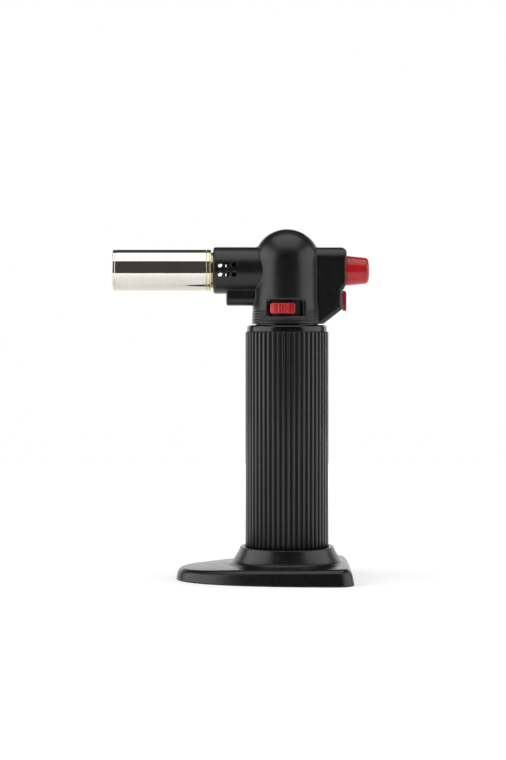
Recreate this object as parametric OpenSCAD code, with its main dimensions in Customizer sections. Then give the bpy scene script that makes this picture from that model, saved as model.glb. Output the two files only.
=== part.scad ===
// Hand-held butane torch on an iron-shaped stand.
// Millimetres, +Z up. The origin is on the grip's axis, on the plane the stand rests on.
// The flame tube points towards -X and the ignition button faces +X.

/* [Stand] */
// Distance from the grip's axis forward to the tip of the stand
stand_nose = 60.3; // [50:0.1:75]
// Distance from the grip's axis back to the rear edge of the stand
stand_back = 35.4; // [32:0.1:45]
// Width of the stand
stand_w = 76; // [64:0.5:90]
// How blunt the tip of the stand is: 2 is an ellipse, higher is blunter
stand_bluntness = 2.3; // [2:0.1:3]
// Radius of the stand's two rear corners in plan
stand_corner_r = 9; // [7:0.1:14]
// Height of the stand's top face where it starts to round over
stand_edge_h = 7.7; // [6.5:0.1:10]
// How much the stand's top face drops towards its tip, for each millimetre
stand_slope = 0.022; // [0:0.001:0.03]
// Height of the crowned top face beside the collar
stand_crown_h = 9.4; // [9:0.1:14]
// Height of the collar that holds the grip
collar_h = 18; // [16:0.1:26]
// Thickness of the collar at its lip
collar_wall = 2.4; // [1.8:0.1:4]
// How far the collar flares out towards its foot
collar_flare = 5; // [3:0.1:8]
// Height of the floor of the socket that the grip stands on
socket_floor = 9; // [8:0.1:12]
// Wall of the stand's moulding around its hollow underside
stand_wall = 2.6; // [2:0.1:4]
// Thickness of the plate that closes the underside
plate_t = 1.8; // [1.2:0.1:2.5]
// Radius of the hole that reaches the refill valve from below
access_r = 9; // [7:0.1:11]
// Radius of a round rubber pad
pad_r = 4; // [3:0.1:5]

/* [Grip and tank] */
// Outer radius over the ribs of the grip
grip_r = 22.6; // [20:0.05:28]
// Length of the ribbed sleeve
grip_len = 125.5; // [90:0.5:160]
// Number of ribs around the sleeve
rib_count = 50; // [30:1:64]
// Height of a rib above the valleys between the ribs
rib_h = 0.7; // [0.4:0.1:1]
// Thickness of the sleeve under the ribs
sleeve_wall = 2; // [1.5:0.1:3]
// Wall of the fuel tank
tank_wall = 1.8; // [1.4:0.1:3]
// Gap between parts that slide into each other by hand
slip = 0.05; // [0.02:0.01:0.1]
// Gap between the grip and the stand's socket
socket_gap = 0.35; // [0.2:0.05:0.6]
// Height of the rounded shoulder above the ribs
shoulder_h = 3.6; // [3.5:0.1:7]
// Radius of the threaded neck that the head clamps onto
neck_r = 12; // [10:0.1:13]
// Open shadow line between the shoulder and the head
joint_gap = 0.6; // [0.2:0.1:1]

/* [Head] */
// Radius of the upright column and of its dome
head_r = 18.25; // [17:0.05:22]
// Height of the column from its foot to the centre of the dome
column_h = 33.3; // [32:0.1:40]
// Wall of the head's mouldings
head_wall = 2; // [1.6:0.1:2.4]
// Height of the burner's axis above the foot of the column
burner_rise = 29.1; // [28.5:0.1:32]
// Radius of the black barrel
barrel_r = 12.7; // [12.2:0.1:14]
// Distance from the grip's axis to the front of the barrel
barrel_reach = 40.1; // [39:0.1:49]
// Radius of an air hole in the barrel
air_hole_r = 1.3; // [0.8:0.1:1.5]
// Distance between neighbouring air holes along the barrel
air_hole_pitch = 3.9; // [3.4:0.1:4.5]
// Height difference between the two rows of air holes
air_row_gap = 4.9; // [4:0.1:6]
// Width of the rounded keel under the barrel
keel_w = 14; // [12:0.1:17]
// How far the keel hangs below the barrel
keel_drop = 6.6; // [5.5:0.1:7.5]
// Half the thickness of the housing behind the column
rear_half_t = 9.3; // [9.2:0.1:11]
// Distance from the grip's axis to the back of the rear housing
rear_reach = 32.2; // [31.5:0.1:36]
// Height of the rear housing's top above the foot of the column
rear_top = 41.6; // [41:0.1:44]
// Number of fine grooves around the foot of the column
groove_count = 5; // [3:1:6]

/* [Burner] */
// Outer radius of the flame tube
tube_r = 11.45; // [11:0.05:13]
// Length of the flame tube
tube_len = 51; // [40:0.5:70]
// Wall of the flame tube
tube_wall = 0.55; // [0.4:0.05:1]
// Width of the retaining ring behind the flame tube
ring_w = 2.2; // [1.6:0.1:3]
// Radius of the burner base between the ring and the barrel
burner_neck_r = 9.9; // [9.5:0.1:10.2]
// Radius of the throat that the gas and air mix in
throat_r = 3.5; // [2.5:0.1:4]
// Number of holes in the outer row of the flame holder
flame_holes = 16; // [8:1:20]

/* [Controls] */
// Radius of the ignition button where it leaves the housing
button_r = 8.1; // [7:0.1:8.2]
// How far the ignition button stands out of the housing
button_out = 12.6; // [10:0.1:15]
// Travel of the ignition button
button_travel = 5.5; // [4:0.1:5.8]
// Gap around the ignition button
button_gap = 0.2; // [0.15:0.05:0.3]
// Height of the ignition button's axis above the foot of the column
button_rise = 28.9; // [28.5:0.1:31]
// Width of the flame lock
lock_w = 8; // [6:0.1:10]
// Height of the flame lock
lock_h = 10.9; // [9:0.1:12]
// Travel of the flame lock, downwards
lock_travel = 3; // [2:0.1:3.2]
// Arc that the flow lever's thumb piece covers around the column, in degrees
thumb_arc = 45.6; // [40:0.1:50]
// Angle that the flow lever turns through, in degrees
flow_turn = 12; // [8:0.5:12.5]
// Height of the flow lever's thumb piece
thumb_h = 6.3; // [5:0.1:7]

/* [Hidden] */
$fn = 96;
over = 1; // how far a cutting shape runs past the surface it cuts

// Heights of the stack, from the floor up
grip_top = socket_floor + grip_len;
shoulder_top = grip_top + shoulder_h;
head_z = shoulder_top + joint_gap;
dome_z = head_z + column_h;
burner_z = head_z + burner_rise;
button_z = head_z + button_rise;

// Stand
stand_half = stand_w / 2;
corner_x = stand_back - stand_corner_r;
collar_in = grip_r + socket_gap;
collar_out = collar_in + collar_wall;
hollow_top = socket_floor - 3;
flare_r = 14;
boss_r = 3;
base_screw_r = 1.25;
screw_back_x = stand_back - 11.4;
screw_side_y = stand_half - 11;
base_screw_at = [[-0.78 * stand_nose, 0], [screw_back_x, screw_side_y], [screw_back_x, -screw_side_y]];
pad_x0 = -0.6 * stand_nose;
pad_x1 = 10;
pad_y0 = 15;
pad_y1 = stand_half - 8;
pad_at = [[pad_x0, pad_y0], [pad_x0, -pad_y0], [pad_x1, pad_y1], [pad_x1, -pad_y1]];
pad_t = 1;

// Grip and tank
valley_r = grip_r - rib_h;
rib_phase = 0.19; // share of a rib's pitch that the first rib is turned by
sleeve_in = valley_r - sleeve_wall;
tank_r = sleeve_in - slip;
tank_in = tank_r - tank_wall;
tank_top = grip_top - 2.2;
tank_floor_t = 3;
plug_r = tank_in - slip;
plug_h = 5;
seal_r = 0.85;
seal_z = tank_top - plug_h / 2;
filler_r = 4.5;
filler_z0 = socket_floor - 3.5;
filler_travel = 1.5;
filler_top = socket_floor + 9.5 + filler_travel;
filler_mouth_r = 1.7;
filler_mouth = 3;
stem_r = 1;
stem_z0 = filler_z0 + filler_mouth + 0.1;
stem_len = 12.5;

// Head
head_in = head_r - head_wall;
clamp_z = head_z + 3.3;
clamp_t = 2;
clamp_r = neck_r + 2;
barrel_in = barrel_r - head_wall;
barrel_front = -barrel_reach;
front_wall = 1.3;
groove_r = burner_neck_r - 1;
air_hole_x = barrel_front + 3.7;
keel_x0 = barrel_front + 7.1;
keel_z0 = burner_z - barrel_r - keel_drop;
rear_step_z = head_z + 18.7;
rear_step = 2.1;
rear_low_x = rear_reach - rear_step;
rear_low_z = head_z + 8.1;
rear_foot_x = rear_low_x - 10.3;
rear_top_z = head_z + rear_top;
rear_edge_r = 1.8;
rear_crown_r = 4.8;
rear_corner_r = 3.2;
boss_out = 2.5;
lock_top = rear_step_z - 0.7;
lock_stem_z0 = lock_top - 5.2;
lock_stem_z1 = lock_top - 1.7;
lock_stem_w = 4;
lock_gap = 0.3;
lock_back = rear_low_x - 3.6;
groove_pitch = 1.45;
groove_depth = 0.2;
screw_seat = 4.5;
screw_r = 1.25;
screw_len = 10;
screw_head_r = 2.2;
housing_screw_at = [
    [keel_x0 + 5.4, keel_z0 + 4.2], [rear_foot_x + 2.7, head_z + 11.1],
    [-10.5, dome_z + 6.7], [12.5, dome_z + 6.3]
];

// Gas path
valve_r = 4.5;
valve_top = head_z + 17.7;
pin_r = 1.2;
pin_top = valve_top + 2;
pin_travel = 1.2;
pin_bore_z = head_z + 9.3;
outlet_z = valve_top - 2;
gas_r = 1.3;
gas_bend = 3;
gas_x = -valve_r - 3.5;
jet_front = barrel_front + 7.2;
jet_rear = jet_front + 8.4;
jet_r = 5;
rib_x = jet_rear - 2.5;
rib_t = 2;
lead_z = burner_z - 6.6;
lead_r = 0.8;

// Burner
ring_x1 = barrel_front - 1.4;
tube_back = ring_x1 - ring_w;
tube_front = tube_back - tube_len;
tube_in = tube_r - tube_wall;
spigot_front = tube_back - 16.2;
holder_t = 1.5;
sleeve_z = burner_z - 6.2;
sleeve_r = 1.4;
wire_r = 0.5;

// Ignition
skirt_x0 = rear_reach - 7.2;
button_end = rear_reach + button_out;
guide_x0 = skirt_x0 - button_travel - 0.3;
piezo_x0 = -4;
piezo_x1 = 18;
piezo_half_t = 4.5;
piezo_h = 11.2;
piezo_z0 = button_z - piezo_h / 2;
plunger_r = 3;
hub_x0 = skirt_x0 + 9;
ramp = pin_travel / button_travel;
slide_top = piezo_z0 - 0.6;
slide_x0 = -3;
slide_half_w = 2.4;
pin_gap = 0.4;

// Flow lever, angles measured from -Y towards +X
slot_z0 = head_z + 4.5;
slot_h = thumb_h + 1.4;
thumb_z0 = slot_z0 + 0.7;
thumb_a1 = 14;
thumb_a0 = thumb_a1 - thumb_arc;
slot_a0 = thumb_a0 - 2;
slot_a1 = thumb_a1 + flow_turn + 1;
skirt_r = head_in - 0.25;
lever_hub_r = 8;
collar_r = valve_r + 1.45;
ridge_count = 4;
ridge_pitch = 4.9;
ridge_half = 1.2;
thumb_mid = (thumb_a0 + thumb_a1) / 2;
skirt_t = 0.9;
skirt_over = 14;
skirt_rise = 1.4;
arm_w = 6;
arm_z0 = thumb_z0 + 2.2;
arm_z1 = thumb_z0 + 4.6;
peg_r = 0.8;
peg_len = 2.6;

// ---------- helpers ----------

// A cylinder along X, on the burner's axis unless z says otherwise
module rod_x(x0, x1, r, z = burner_z, y = 0) {
    translate([x0, y, z]) rotate([0, 90, 0]) cylinder(h = x1 - x0, r = r);
}

// A cylinder along Y
module rod_y(x, z, y0, y1, r) {
    translate([x, y0, z]) rotate([-90, 0, 0]) cylinder(h = y1 - y0, r = r);
}

// A tube between two heights
module pipe_z(z0, z1, r_out, r_in) {
    difference() {
        translate([0, 0, z0]) cylinder(h = z1 - z0, r = r_out);
        translate([0, 0, z0 - over]) cylinder(h = z1 - z0 + 2 * over, r = r_in);
    }
}

// Spins an outline of [radius, x] points around an axis along X
module turned_x(points, z = burner_z) {
    translate([0, 0, z]) rotate([0, 90, 0]) rotate_extrude() polygon(points);
}

// An outline in the XZ plane, given a thickness along Y
module slab_y(points, y0, y1) {
    translate([0, y1, 0]) rotate([90, 0, 0]) linear_extrude(height = y1 - y0) polygon(points);
}

// A box between two opposite corners
module block(low, high) {
    translate(low) cube(high - low);
}

// Points along an arc
function arc(c, r, a0, a1, n = 8) = [
    for (i = [0:n]) c + r * [cos(a0 + (a1 - a0) * i / n), sin(a0 + (a1 - a0) * i / n)]
];

// A rectangle with rounded corners, as an outline
function round_rect(x0, x1, y0, y1, r) = concat(
    arc([x1 - r, y1 - r], r, 0, 90), arc([x0 + r, y1 - r], r, 90, 180),
    arc([x0 + r, y0 + r], r, 180, 270), arc([x1 - r, y0 + r], r, 270, 360)
);

// A wedge around the Z axis between two angles measured from -Y towards +X
module wedge(a0, a1, z0, z1, r = 40) {
    translate([0, 0, z0]) linear_extrude(height = z1 - z0)
        polygon(concat([[0, 0]], [for (i = [0:6]) let(a = a0 + (a1 - a0) * i / 6) r * [sin(a), -cos(a)]]));
}

// A ring segment between two radii, two angles and two heights
module ring_segment(r0, r1, a0, a1, z0, z1) {
    intersection() {
        pipe_z(z0, z1, r1, r0);
        wedge(a0, a1, z0 - over, z1 + over);
    }
}

// A round wire swept along a path; up is any direction the path never follows
module wire_along(path, r, up, sides = 8) {
    n = len(path);
    dirs = [for (i = [0:n - 1]) path[min(i + 1, n - 1)] - path[max(i - 1, 0)]];
    rings = [for (i = [0:n - 1])
        let(t = dirs[i] / norm(dirs[i]), c = cross(t, up), u = c / norm(c), v = cross(t, u))
        for (j = [0:sides - 1]) path[i] + r * (cos(360 * j / sides) * u + sin(360 * j / sides) * v)];
    walls = [for (i = [0:n - 2]) for (j = [0:sides - 1])
        let(k = (j + 1) % sides, a = i * sides, b = a + sides)
        for (f = [[a + j, b + j, b + k], [a + j, b + k, a + k]]) f];
    ends = [[for (j = [0:sides - 1]) j], [for (j = [0:sides - 1]) n * sides - 1 - j]];
    polyhedron(concat(rings), concat(walls, ends), convexity = 10);
}

// The points of a helix that climbs along Z
function helix(r, height, turns, per_turn = 14) = [
    for (i = [0:turns * per_turn])
        [r * cos(360 * i / per_turn), r * sin(360 * i / per_turn), height * i / (turns * per_turn)]
];

// A smooth curve through control points (Catmull-Rom)
function curve_at(p0, p1, p2, p3, t) = 0.5 * (
    2 * p1 + (p2 - p0) * t + (2 * p0 - 5 * p1 + 4 * p2 - p3) * t * t
    + (3 * p1 - p0 - 3 * p2 + p3) * t * t * t);
function smooth_path(pts, steps = 5) = concat(
    [for (i = [0:len(pts) - 2]) for (s = [0:steps - 1])
        curve_at(pts[max(i - 1, 0)], pts[i], pts[i + 1], pts[min(i + 2, len(pts) - 1)], s / steps)],
    [pts[len(pts) - 1]]
);

// ---------- stand ----------

// Plan outline of the stand, drawn in by a distance: an elliptical front and a rounded, straight back
function stand_plan(inset) = let(
    a = stand_nose + corner_x - inset, b = stand_half - inset, r = max(stand_corner_r - inset, 0.5),
    k = 2 / stand_bluntness,
    front = [for (i = [0:36]) let(t = 90 + 180 * i / 36)
        [corner_x - a * pow(abs(cos(t)), k), b * sign(sin(t)) * pow(abs(sin(t)), k)]],
    rear_low = [for (p = arc([corner_x, -b + r], r, 270, 360)) p],
    rear_high = [for (p = arc([corner_x, b - r], r, 0, 90)) p]
) concat(front, rear_low, rear_high);

// A thin layer of the stand, lower towards the tip
module stand_layer(z, inset) {
    lean = stand_slope * min(1, z / stand_edge_h);
    multmatrix([[1, 0, 0, 0], [0, 1, 0, 0], [lean, 0, 1, z], [0, 0, 0, 1]])
        linear_extrude(height = 0.01) polygon(stand_plan(inset));
}

// Cross-section of the collar: a flare that steepens up to the lip
module collar_profile() {
    lip = [collar_out, collar_h - 0.8];
    foot = [collar_out + collar_flare, stand_crown_h - 0.4];
    half = (foot - lip) / 2;
    c = lip + half + [-half[1], half[0]] / norm(half) * sqrt(flare_r * flare_r - half * half);
    polygon(concat(
        [[collar_in - over, 5], [collar_in - over, collar_h], [collar_out - 0.7, collar_h]],
        [[collar_out - 0.2, collar_h - 0.25]],
        arc(c, flare_r, atan2(lip[1] - c[1], lip[0] - c[0]), atan2(foot[1] - c[1], foot[0] - c[0]), 10),
        [[foot[0], 5]]
    ));
}

module stand() {
    color([0.07, 0.07, 0.08]) difference() {
        union() {
            hull() {
                stand_layer(0, 0);
                stand_layer(0.35 * stand_edge_h, 0.5);
                stand_layer(0.7 * stand_edge_h, 1.2);
                stand_layer(0.9 * stand_edge_h, 2.4);
                stand_layer(stand_edge_h, 4.6);
                stand_layer(0.5 * (stand_edge_h + stand_crown_h), 12);
                stand_layer(stand_crown_h - 0.5, 20);
            }
            rotate_extrude() collar_profile();
        }
        translate([0, 0, socket_floor]) cylinder(h = collar_h, r = collar_in);
        translate([0, 0, collar_h - 0.4]) cylinder(h = over, r1 = collar_in, r2 = collar_in + over);
        translate([0, 0, -over]) cylinder(h = collar_h, r = access_r);
        translate([0, 0, -over]) linear_extrude(height = plate_t + over) polygon(stand_plan(stand_wall));
        difference() {
            multmatrix([[1, 0, 0, 0], [0, 1, 0, 0], [stand_slope, 0, 1, 0]])
                linear_extrude(height = hollow_top) polygon(stand_plan(stand_wall + 1.8));
            cylinder(h = hollow_top + over, r = access_r + 2);
            for (p = base_screw_at) translate([p[0], p[1], 0]) cylinder(h = hollow_top + over, r = boss_r);
        }
        for (p = base_screw_at) translate([p[0], p[1], 0])
            cylinder(h = hollow_top - 0.5, r = base_screw_r + slip);
    }
}

module base_plate() {
    color([0.09, 0.09, 0.1]) difference() {
        linear_extrude(height = plate_t) polygon(stand_plan(stand_wall + 0.15));
        translate([0, 0, -over]) cylinder(h = plate_t + 2 * over, r = access_r);
        for (p = base_screw_at) translate([p[0], p[1], -over]) {
            cylinder(h = plate_t + 2 * over, r = base_screw_r + 0.25);
            cylinder(h = over + 1.3, r = 2.7);
        }
        for (p = pad_at) translate([p[0], p[1], -over]) cylinder(h = over + pad_t, r = pad_r + slip);
    }
}

module base_screws() {
    color([0.6, 0.6, 0.62]) for (p = base_screw_at) translate([p[0], p[1], 0]) difference() {
        union() {
            translate([0, 0, 0.3]) cylinder(h = 0.95, r = 2.5);
            translate([0, 0, 1]) cylinder(h = hollow_top - 2, r = base_screw_r);
        }
        block([-1.6, -0.3, -over], [1.6, 0.3, 0.8]);
        block([-0.3, -1.6, -over], [0.3, 1.6, 0.8]);
    }
}

module base_pads() {
    color([0.15, 0.15, 0.15]) for (p = pad_at) translate([p[0], p[1], 0]) cylinder(h = pad_t, r = pad_r);
}

// ---------- grip and tank ----------

// One rib and the valley after it, as corner points around the axis
function rib_points(i) = let(step = 360 / rib_count, a = -90 + step * (i + rib_phase)) [
    for (k = [[-0.24, grip_r - 0.12], [-0.17, grip_r], [0.17, grip_r], [0.24, grip_r - 0.12], [0.29, valley_r],
        [0.71, valley_r]]) k[1] * [cos(a + step * k[0]), sin(a + step * k[0])]
];

module grip_sleeve() {
    color([0.08, 0.08, 0.09]) difference() {
        translate([0, 0, socket_floor]) linear_extrude(height = grip_len)
            polygon([for (i = [0:rib_count - 1]) for (p = rib_points(i)) p]);
        translate([0, 0, socket_floor - over]) cylinder(h = grip_len + 2 * over, r = sleeve_in);
    }
}

module fuel_tank() {
    color([0.82, 0.84, 0.82, 0.7]) difference() {
        union() {
            pipe_z(socket_floor, tank_top, tank_r, tank_in);
            translate([0, 0, socket_floor]) cylinder(h = tank_floor_t, r = tank_in + over);
            translate([0, 0, socket_floor]) cylinder(h = 8, r = filler_r + 3);
        }
        translate([0, 0, socket_floor - over])
            cylinder(h = filler_top - socket_floor + over, r = filler_r + slip);
    }
}

module tank_cap() {
    color([0.2, 0.2, 0.22]) difference() {
        union() {
            translate([0, 0, tank_top - plug_h]) cylinder(h = plug_h + over, r = plug_r);
            translate([0, 0, tank_top]) cylinder(h = grip_top - tank_top, r = tank_r);
            translate([0, 0, tank_top]) cylinder(h = clamp_z - tank_top + over, r = neck_r);
            translate([0, 0, clamp_z]) cylinder(h = clamp_t, r = clamp_r);
        }
        translate([0, 0, tank_top - plug_h - over]) cylinder(h = 60, r = valve_r + slip);
        rotate_extrude() translate([plug_r + over / 2 - seal_r - slip, seal_z])
            square([2 * (seal_r + slip) + over, 2 * seal_r + 0.2], center = true);
    }
}

module tank_seal() {
    color([0.1, 0.1, 0.1]) rotate_extrude() translate([plug_r - seal_r, seal_z]) circle(r = seal_r);
}

module pickup_tube() {
    color([0.8, 0.8, 0.75]) pipe_z(filler_top + 8, tank_top - plug_h - 2.1, 1.5, 0.8);
}

module shoulder_ring() {
    round_r = 3.2;
    low = grip_top;
    side = valley_r - 0.1;
    color([0.06, 0.06, 0.07]) rotate_extrude() polygon(concat(
        [[neck_r + slip, low], [side, low]],
        arc([side - round_r, shoulder_top - round_r], round_r, 0, 90, 10),
        [[head_r - 0.9, shoulder_top], [head_r - 0.9, head_z], [neck_r + slip, head_z]]
    ));
}

module filler_body() {
    color([0.8, 0.65, 0.3]) difference() {
        union() {
            translate([0, 0, filler_z0]) cylinder(h = 3.5, r = 3);
            translate([0, 0, socket_floor]) cylinder(h = filler_top - socket_floor, r = filler_r);
        }
        translate([0, 0, filler_z0 - over]) cylinder(h = filler_mouth + over, r = filler_mouth_r);
        translate([0, 0, filler_z0]) cylinder(h = 40, r = stem_r + 0.08);
        translate([0, 0, socket_floor + 4]) cylinder(h = 20, r = 3.2);
    }
}

module filler_seal() {
    color([0.1, 0.1, 0.1]) rotate_extrude() translate([stem_r + 0.9, socket_floor + 4.6]) circle(r = 0.6);
}

module filler_stem() {
    color([0.75, 0.75, 0.78]) {
        translate([0, 0, stem_z0]) cylinder(h = stem_len, r = stem_r);
        translate([0, 0, socket_floor + 6]) cylinder(h = 1, r = 2.6);
    }
}

module filler_spring() {
    z0 = socket_floor + 7.3;
    color([0.7, 0.7, 0.72]) translate([0, 0, z0])
        wire_along(helix(2.1, filler_top - z0 - 0.3, 4), 0.22, [0, 0, 1], 6);
}

// ---------- head ----------

// Side outline of the rear housing, drawn in by a wall
function rear_side(w, x0) = concat(
    [[x0, rear_top_z - w]],
    arc([rear_reach - rear_corner_r, rear_top_z - rear_corner_r], rear_corner_r - w, 90, 0),
    [[rear_reach - w, rear_step_z + w], [rear_low_x - w, rear_step_z - 0.4 * w],
     [rear_low_x - w, rear_low_z + 0.5 * w], [rear_foot_x, head_z + 1.3 * w], [x0, head_z + 1.3 * w]]
);

// The rear housing with its crowned top, drawn in by a wall
module rear_block(w) {
    half = rear_half_t - w;
    intersection() {
        slab_y(rear_side(w, 2), -half, half);
        rotate([90, 0, 90]) linear_extrude(height = 60)
            polygon(round_rect(-half, half, head_z - 8, rear_top_z - w, rear_crown_r - w));
    }
}

module rear_housing() {
    intersection() {
        rear_block(0);
        translate([0, 0, head_z]) linear_extrude(height = 60)
            polygon(round_rect(-20, rear_reach, -rear_half_t, rear_half_t, rear_edge_r));
    }
}

module keel() {
    r = 4;
    rotate([90, 0, 90]) translate([0, 0, keel_x0]) linear_extrude(height = -keel_x0)
        polygon(round_rect(-keel_w / 2, keel_w / 2, keel_z0, burner_z, r));
}

// The outer form of the head, before it is hollowed and split
module head_form() {
    difference() {
        union() {
            translate([0, 0, head_z]) cylinder(h = column_h, r = head_r);
            translate([0, 0, dome_z]) sphere(r = head_r);
            rod_x(barrel_front, 0, barrel_r);
            keel();
            rear_housing();
        }
        translate([0, 0, head_z - 100]) cylinder(h = 100, r = 60);
        for (i = [0:groove_count - 1])
            translate([0, 0, head_z + 1.2 + i * groove_pitch])
                pipe_z(0, 0.3, head_r + 5, head_r - groove_depth);
    }
}

// The space inside the head
module head_hollow() {
    translate([0, 0, clamp_z]) cylinder(h = dome_z - clamp_z, r = head_in);
    intersection() {
        translate([0, 0, dome_z]) sphere(r = head_in);
        translate([0, 0, dome_z - over]) cylinder(h = 40, r = 40);
    }
    translate([0, 0, head_z - over]) cylinder(h = 10, r = neck_r + 0.1);
    rod_x(barrel_front + front_wall, rib_x, barrel_in);
    rod_x(rib_x + rib_t, 0, barrel_in);
    rod_x(barrel_front + 2, 0, jet_r + slip);
    rod_x(barrel_front + 3, 0, lead_r + 0.5, z = lead_z);
    rod_x(barrel_front - over, 0, groove_r + slip);
    block([keel_x0 + head_wall, -keel_w / 2 + head_wall, keel_z0 + head_wall],
        [-5, keel_w / 2 - head_wall, burner_z - 8]);
    rear_block(head_wall);
    rod_x(guide_x0, rear_reach + over, button_r + button_gap, z = button_z);
    block([guide_x0, -2.8, button_z - button_r - 1.8], [rear_reach - 1.2, 2.8, button_z + button_r + 1.8]);
    block([lock_back - 0.4, -lock_stem_w / 2 - lock_gap, lock_stem_z0 - lock_travel - lock_gap],
        [rear_reach, lock_stem_w / 2 + lock_gap, lock_stem_z1 + lock_gap]);
    ring_segment(head_in - 3, head_r + 5, slot_a0, slot_a1, slot_z0, slot_z0 + slot_h);
    ring_segment(head_r - 0.5, head_r + 5, slot_a0 - 4, slot_a1 + 3, slot_z0 - 0.8, slot_z0 + slot_h + 0.8);
    for (i = [0:2]) for (side = [-1, 1])
        rod_y(air_hole_x + i * air_hole_pitch, burner_z + 0.2 + side * air_row_gap / 2, -20, 20, air_hole_r);
}

// Ribs that carry the piezo unit, and the posts for the housing screws
module head_inside() {
    intersection() {
        head_form();
        union() {
            for (x = [1, 12]) for (side = [-1, 1]) {
                block([x, min(side * 4.55, side * 17), piezo_z0 - 4],
                    [x + 1.6, max(side * 4.55, side * 17), piezo_z0 + 13]);
                block([x, min(side * 3, side * 5), piezo_z0 - 4],
                    [x + 1.6, max(side * 3, side * 5), piezo_z0]);
            }
            for (p = housing_screw_at) rod_y(p[0], p[1], -20, 20, boss_out);
        }
    }
}

module head_shell(side) {
    color([0.06, 0.06, 0.07]) difference() {
        intersection() {
            union() {
                difference() {
                    head_form();
                    head_hollow();
                }
                head_inside();
            }
            block([-60, side < 0 ? -30 : 0, head_z], [60, side < 0 ? 0 : 30, dome_z + 30]);
        }
        for (p = housing_screw_at) {
            rod_y(p[0], p[1], -6.2, 0, screw_r + slip);
            rod_y(p[0], p[1], -over, screw_seat + over, screw_r + 0.2);
            rod_y(p[0], p[1], screw_seat, 30, screw_head_r + 0.2);
        }
    }
}

module head_left() {
    head_shell(-1);
}

module head_right() {
    head_shell(1);
}

module housing_screws() {
    color([0.25, 0.25, 0.27]) for (p = housing_screw_at) difference() {
        union() {
            rod_y(p[0], p[1], screw_seat - screw_len, screw_seat + 0.5, screw_r);
            rod_y(p[0], p[1], screw_seat, screw_seat + 1.6, screw_head_r);
        }
        translate([p[0], screw_seat + 1.6, p[1]]) cube([2.6, 1.6, 0.6], center = true);
        translate([p[0], screw_seat + 1.6, p[1]]) cube([0.6, 1.6, 2.6], center = true);
    }
}

// ---------- gas path ----------

module valve_body() {
    hex_z = thumb_z0 + 6.4;
    color([0.8, 0.65, 0.3]) difference() {
        union() {
            translate([0, 0, tank_top - plug_h - 2])
                cylinder(h = valve_top - tank_top + plug_h + 2, r = valve_r);
            translate([0, 0, hex_z]) cylinder(h = 2, r = 5.6, $fn = 6);
            rod_x(gas_x, 0, 1.9, z = outlet_z);
        }
        translate([0, 0, pin_bore_z]) cylinder(h = 40, r = pin_r + 0.08);
        rod_x(gas_x - over, -3, gas_r + slip, z = outlet_z);
    }
}

module valve_pin() {
    color([0.75, 0.75, 0.78]) {
        translate([0, 0, pin_bore_z + pin_travel + 0.3])
            cylinder(h = pin_top - pin_bore_z - pin_travel - 0.3, r = pin_r);
    }
}

module gas_tube() {
    up_x = gas_x - gas_bend;
    color([0.85, 0.5, 0.3]) {
        rod_x(gas_x, -3.5, gas_r, z = outlet_z);
        translate([gas_x, 0, outlet_z + gas_bend]) rotate([90, 0, 0]) rotate_extrude(angle = 90)
            translate([-gas_bend, 0]) circle(r = gas_r);
        translate([up_x, 0, outlet_z + gas_bend]) cylinder(h = burner_z - outlet_z - 2 * gas_bend, r = gas_r);
        translate([up_x - gas_bend, 0, burner_z - gas_bend]) rotate([90, 0, 0]) rotate_extrude(angle = 90)
            translate([gas_bend, 0]) circle(r = gas_r);
        rod_x(jet_rear - 1, up_x - gas_bend, gas_r);
    }
}

module jet_holder() {
    color([0.8, 0.65, 0.3]) difference() {
        union() {
            rod_x(jet_front, jet_rear, jet_r);
            translate([jet_rear, 0, burner_z]) rotate([0, 90, 0]) cylinder(h = 3, r = 3.6, $fn = 6);
        }
        rod_x(jet_rear - 1.2, jet_rear + 10, gas_r + slip);
        rod_x(jet_front - over, jet_rear, 0.5);
        rod_x(jet_front - over, jet_front + 3, 1.9 + slip);
    }
}

module gas_jet() {
    color([0.85, 0.7, 0.35]) difference() {
        union() {
            rod_x(jet_front, jet_front + 3, 1.9);
            rod_x(jet_front - 1.5, jet_front + 1, 1);
        }
        rod_x(jet_front - 3, jet_front + 4, 0.3);
    }
}

// ---------- burner ----------

module burner_base() {
    lip = barrel_front + front_wall;
    color([0.78, 0.66, 0.32]) difference() {
        turned_x([
            [0, spigot_front], [tube_in - slip, spigot_front], [tube_in - slip, tube_back],
            [burner_neck_r, tube_back], [burner_neck_r, barrel_front - slip],
            [groove_r, barrel_front - slip], [groove_r, lip + slip],
            [burner_neck_r, lip + slip], [burner_neck_r, lip + 0.9], [0, lip + 0.9]
        ]);
        rod_x(spigot_front - over, 0, throat_r);
        turned_x([[0, spigot_front - 1], [9.6, spigot_front - 1], [9.6, spigot_front + 2],
            [throat_r, spigot_front + 9], [0, spigot_front + 9]]);
        rod_x(spigot_front - over, 0, sleeve_r + slip, z = sleeve_z);
    }
}

module tube_ring() {
    color([0.85, 0.72, 0.35]) turned_x([
        [burner_neck_r + slip, tube_back], [tube_r + 0.12, tube_back], [tube_r + 0.12, ring_x1 - 0.7],
        [tube_r - 0.1, ring_x1 - 0.2], [tube_r - 0.5, ring_x1], [burner_neck_r + slip, ring_x1]
    ]);
}

module flame_tube() {
    bead = 0.65;
    color([0.82, 0.8, 0.77]) turned_x(concat(
        [[tube_in, tube_back], [tube_in, tube_front + 2 * bead]],
        [[tube_r - 2 * bead, tube_front + 1.7 * bead]],
        arc([tube_r - bead, tube_front + bead], bead, 180, 360, 8),
        [[tube_r, tube_back]]
    ));
}

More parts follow.
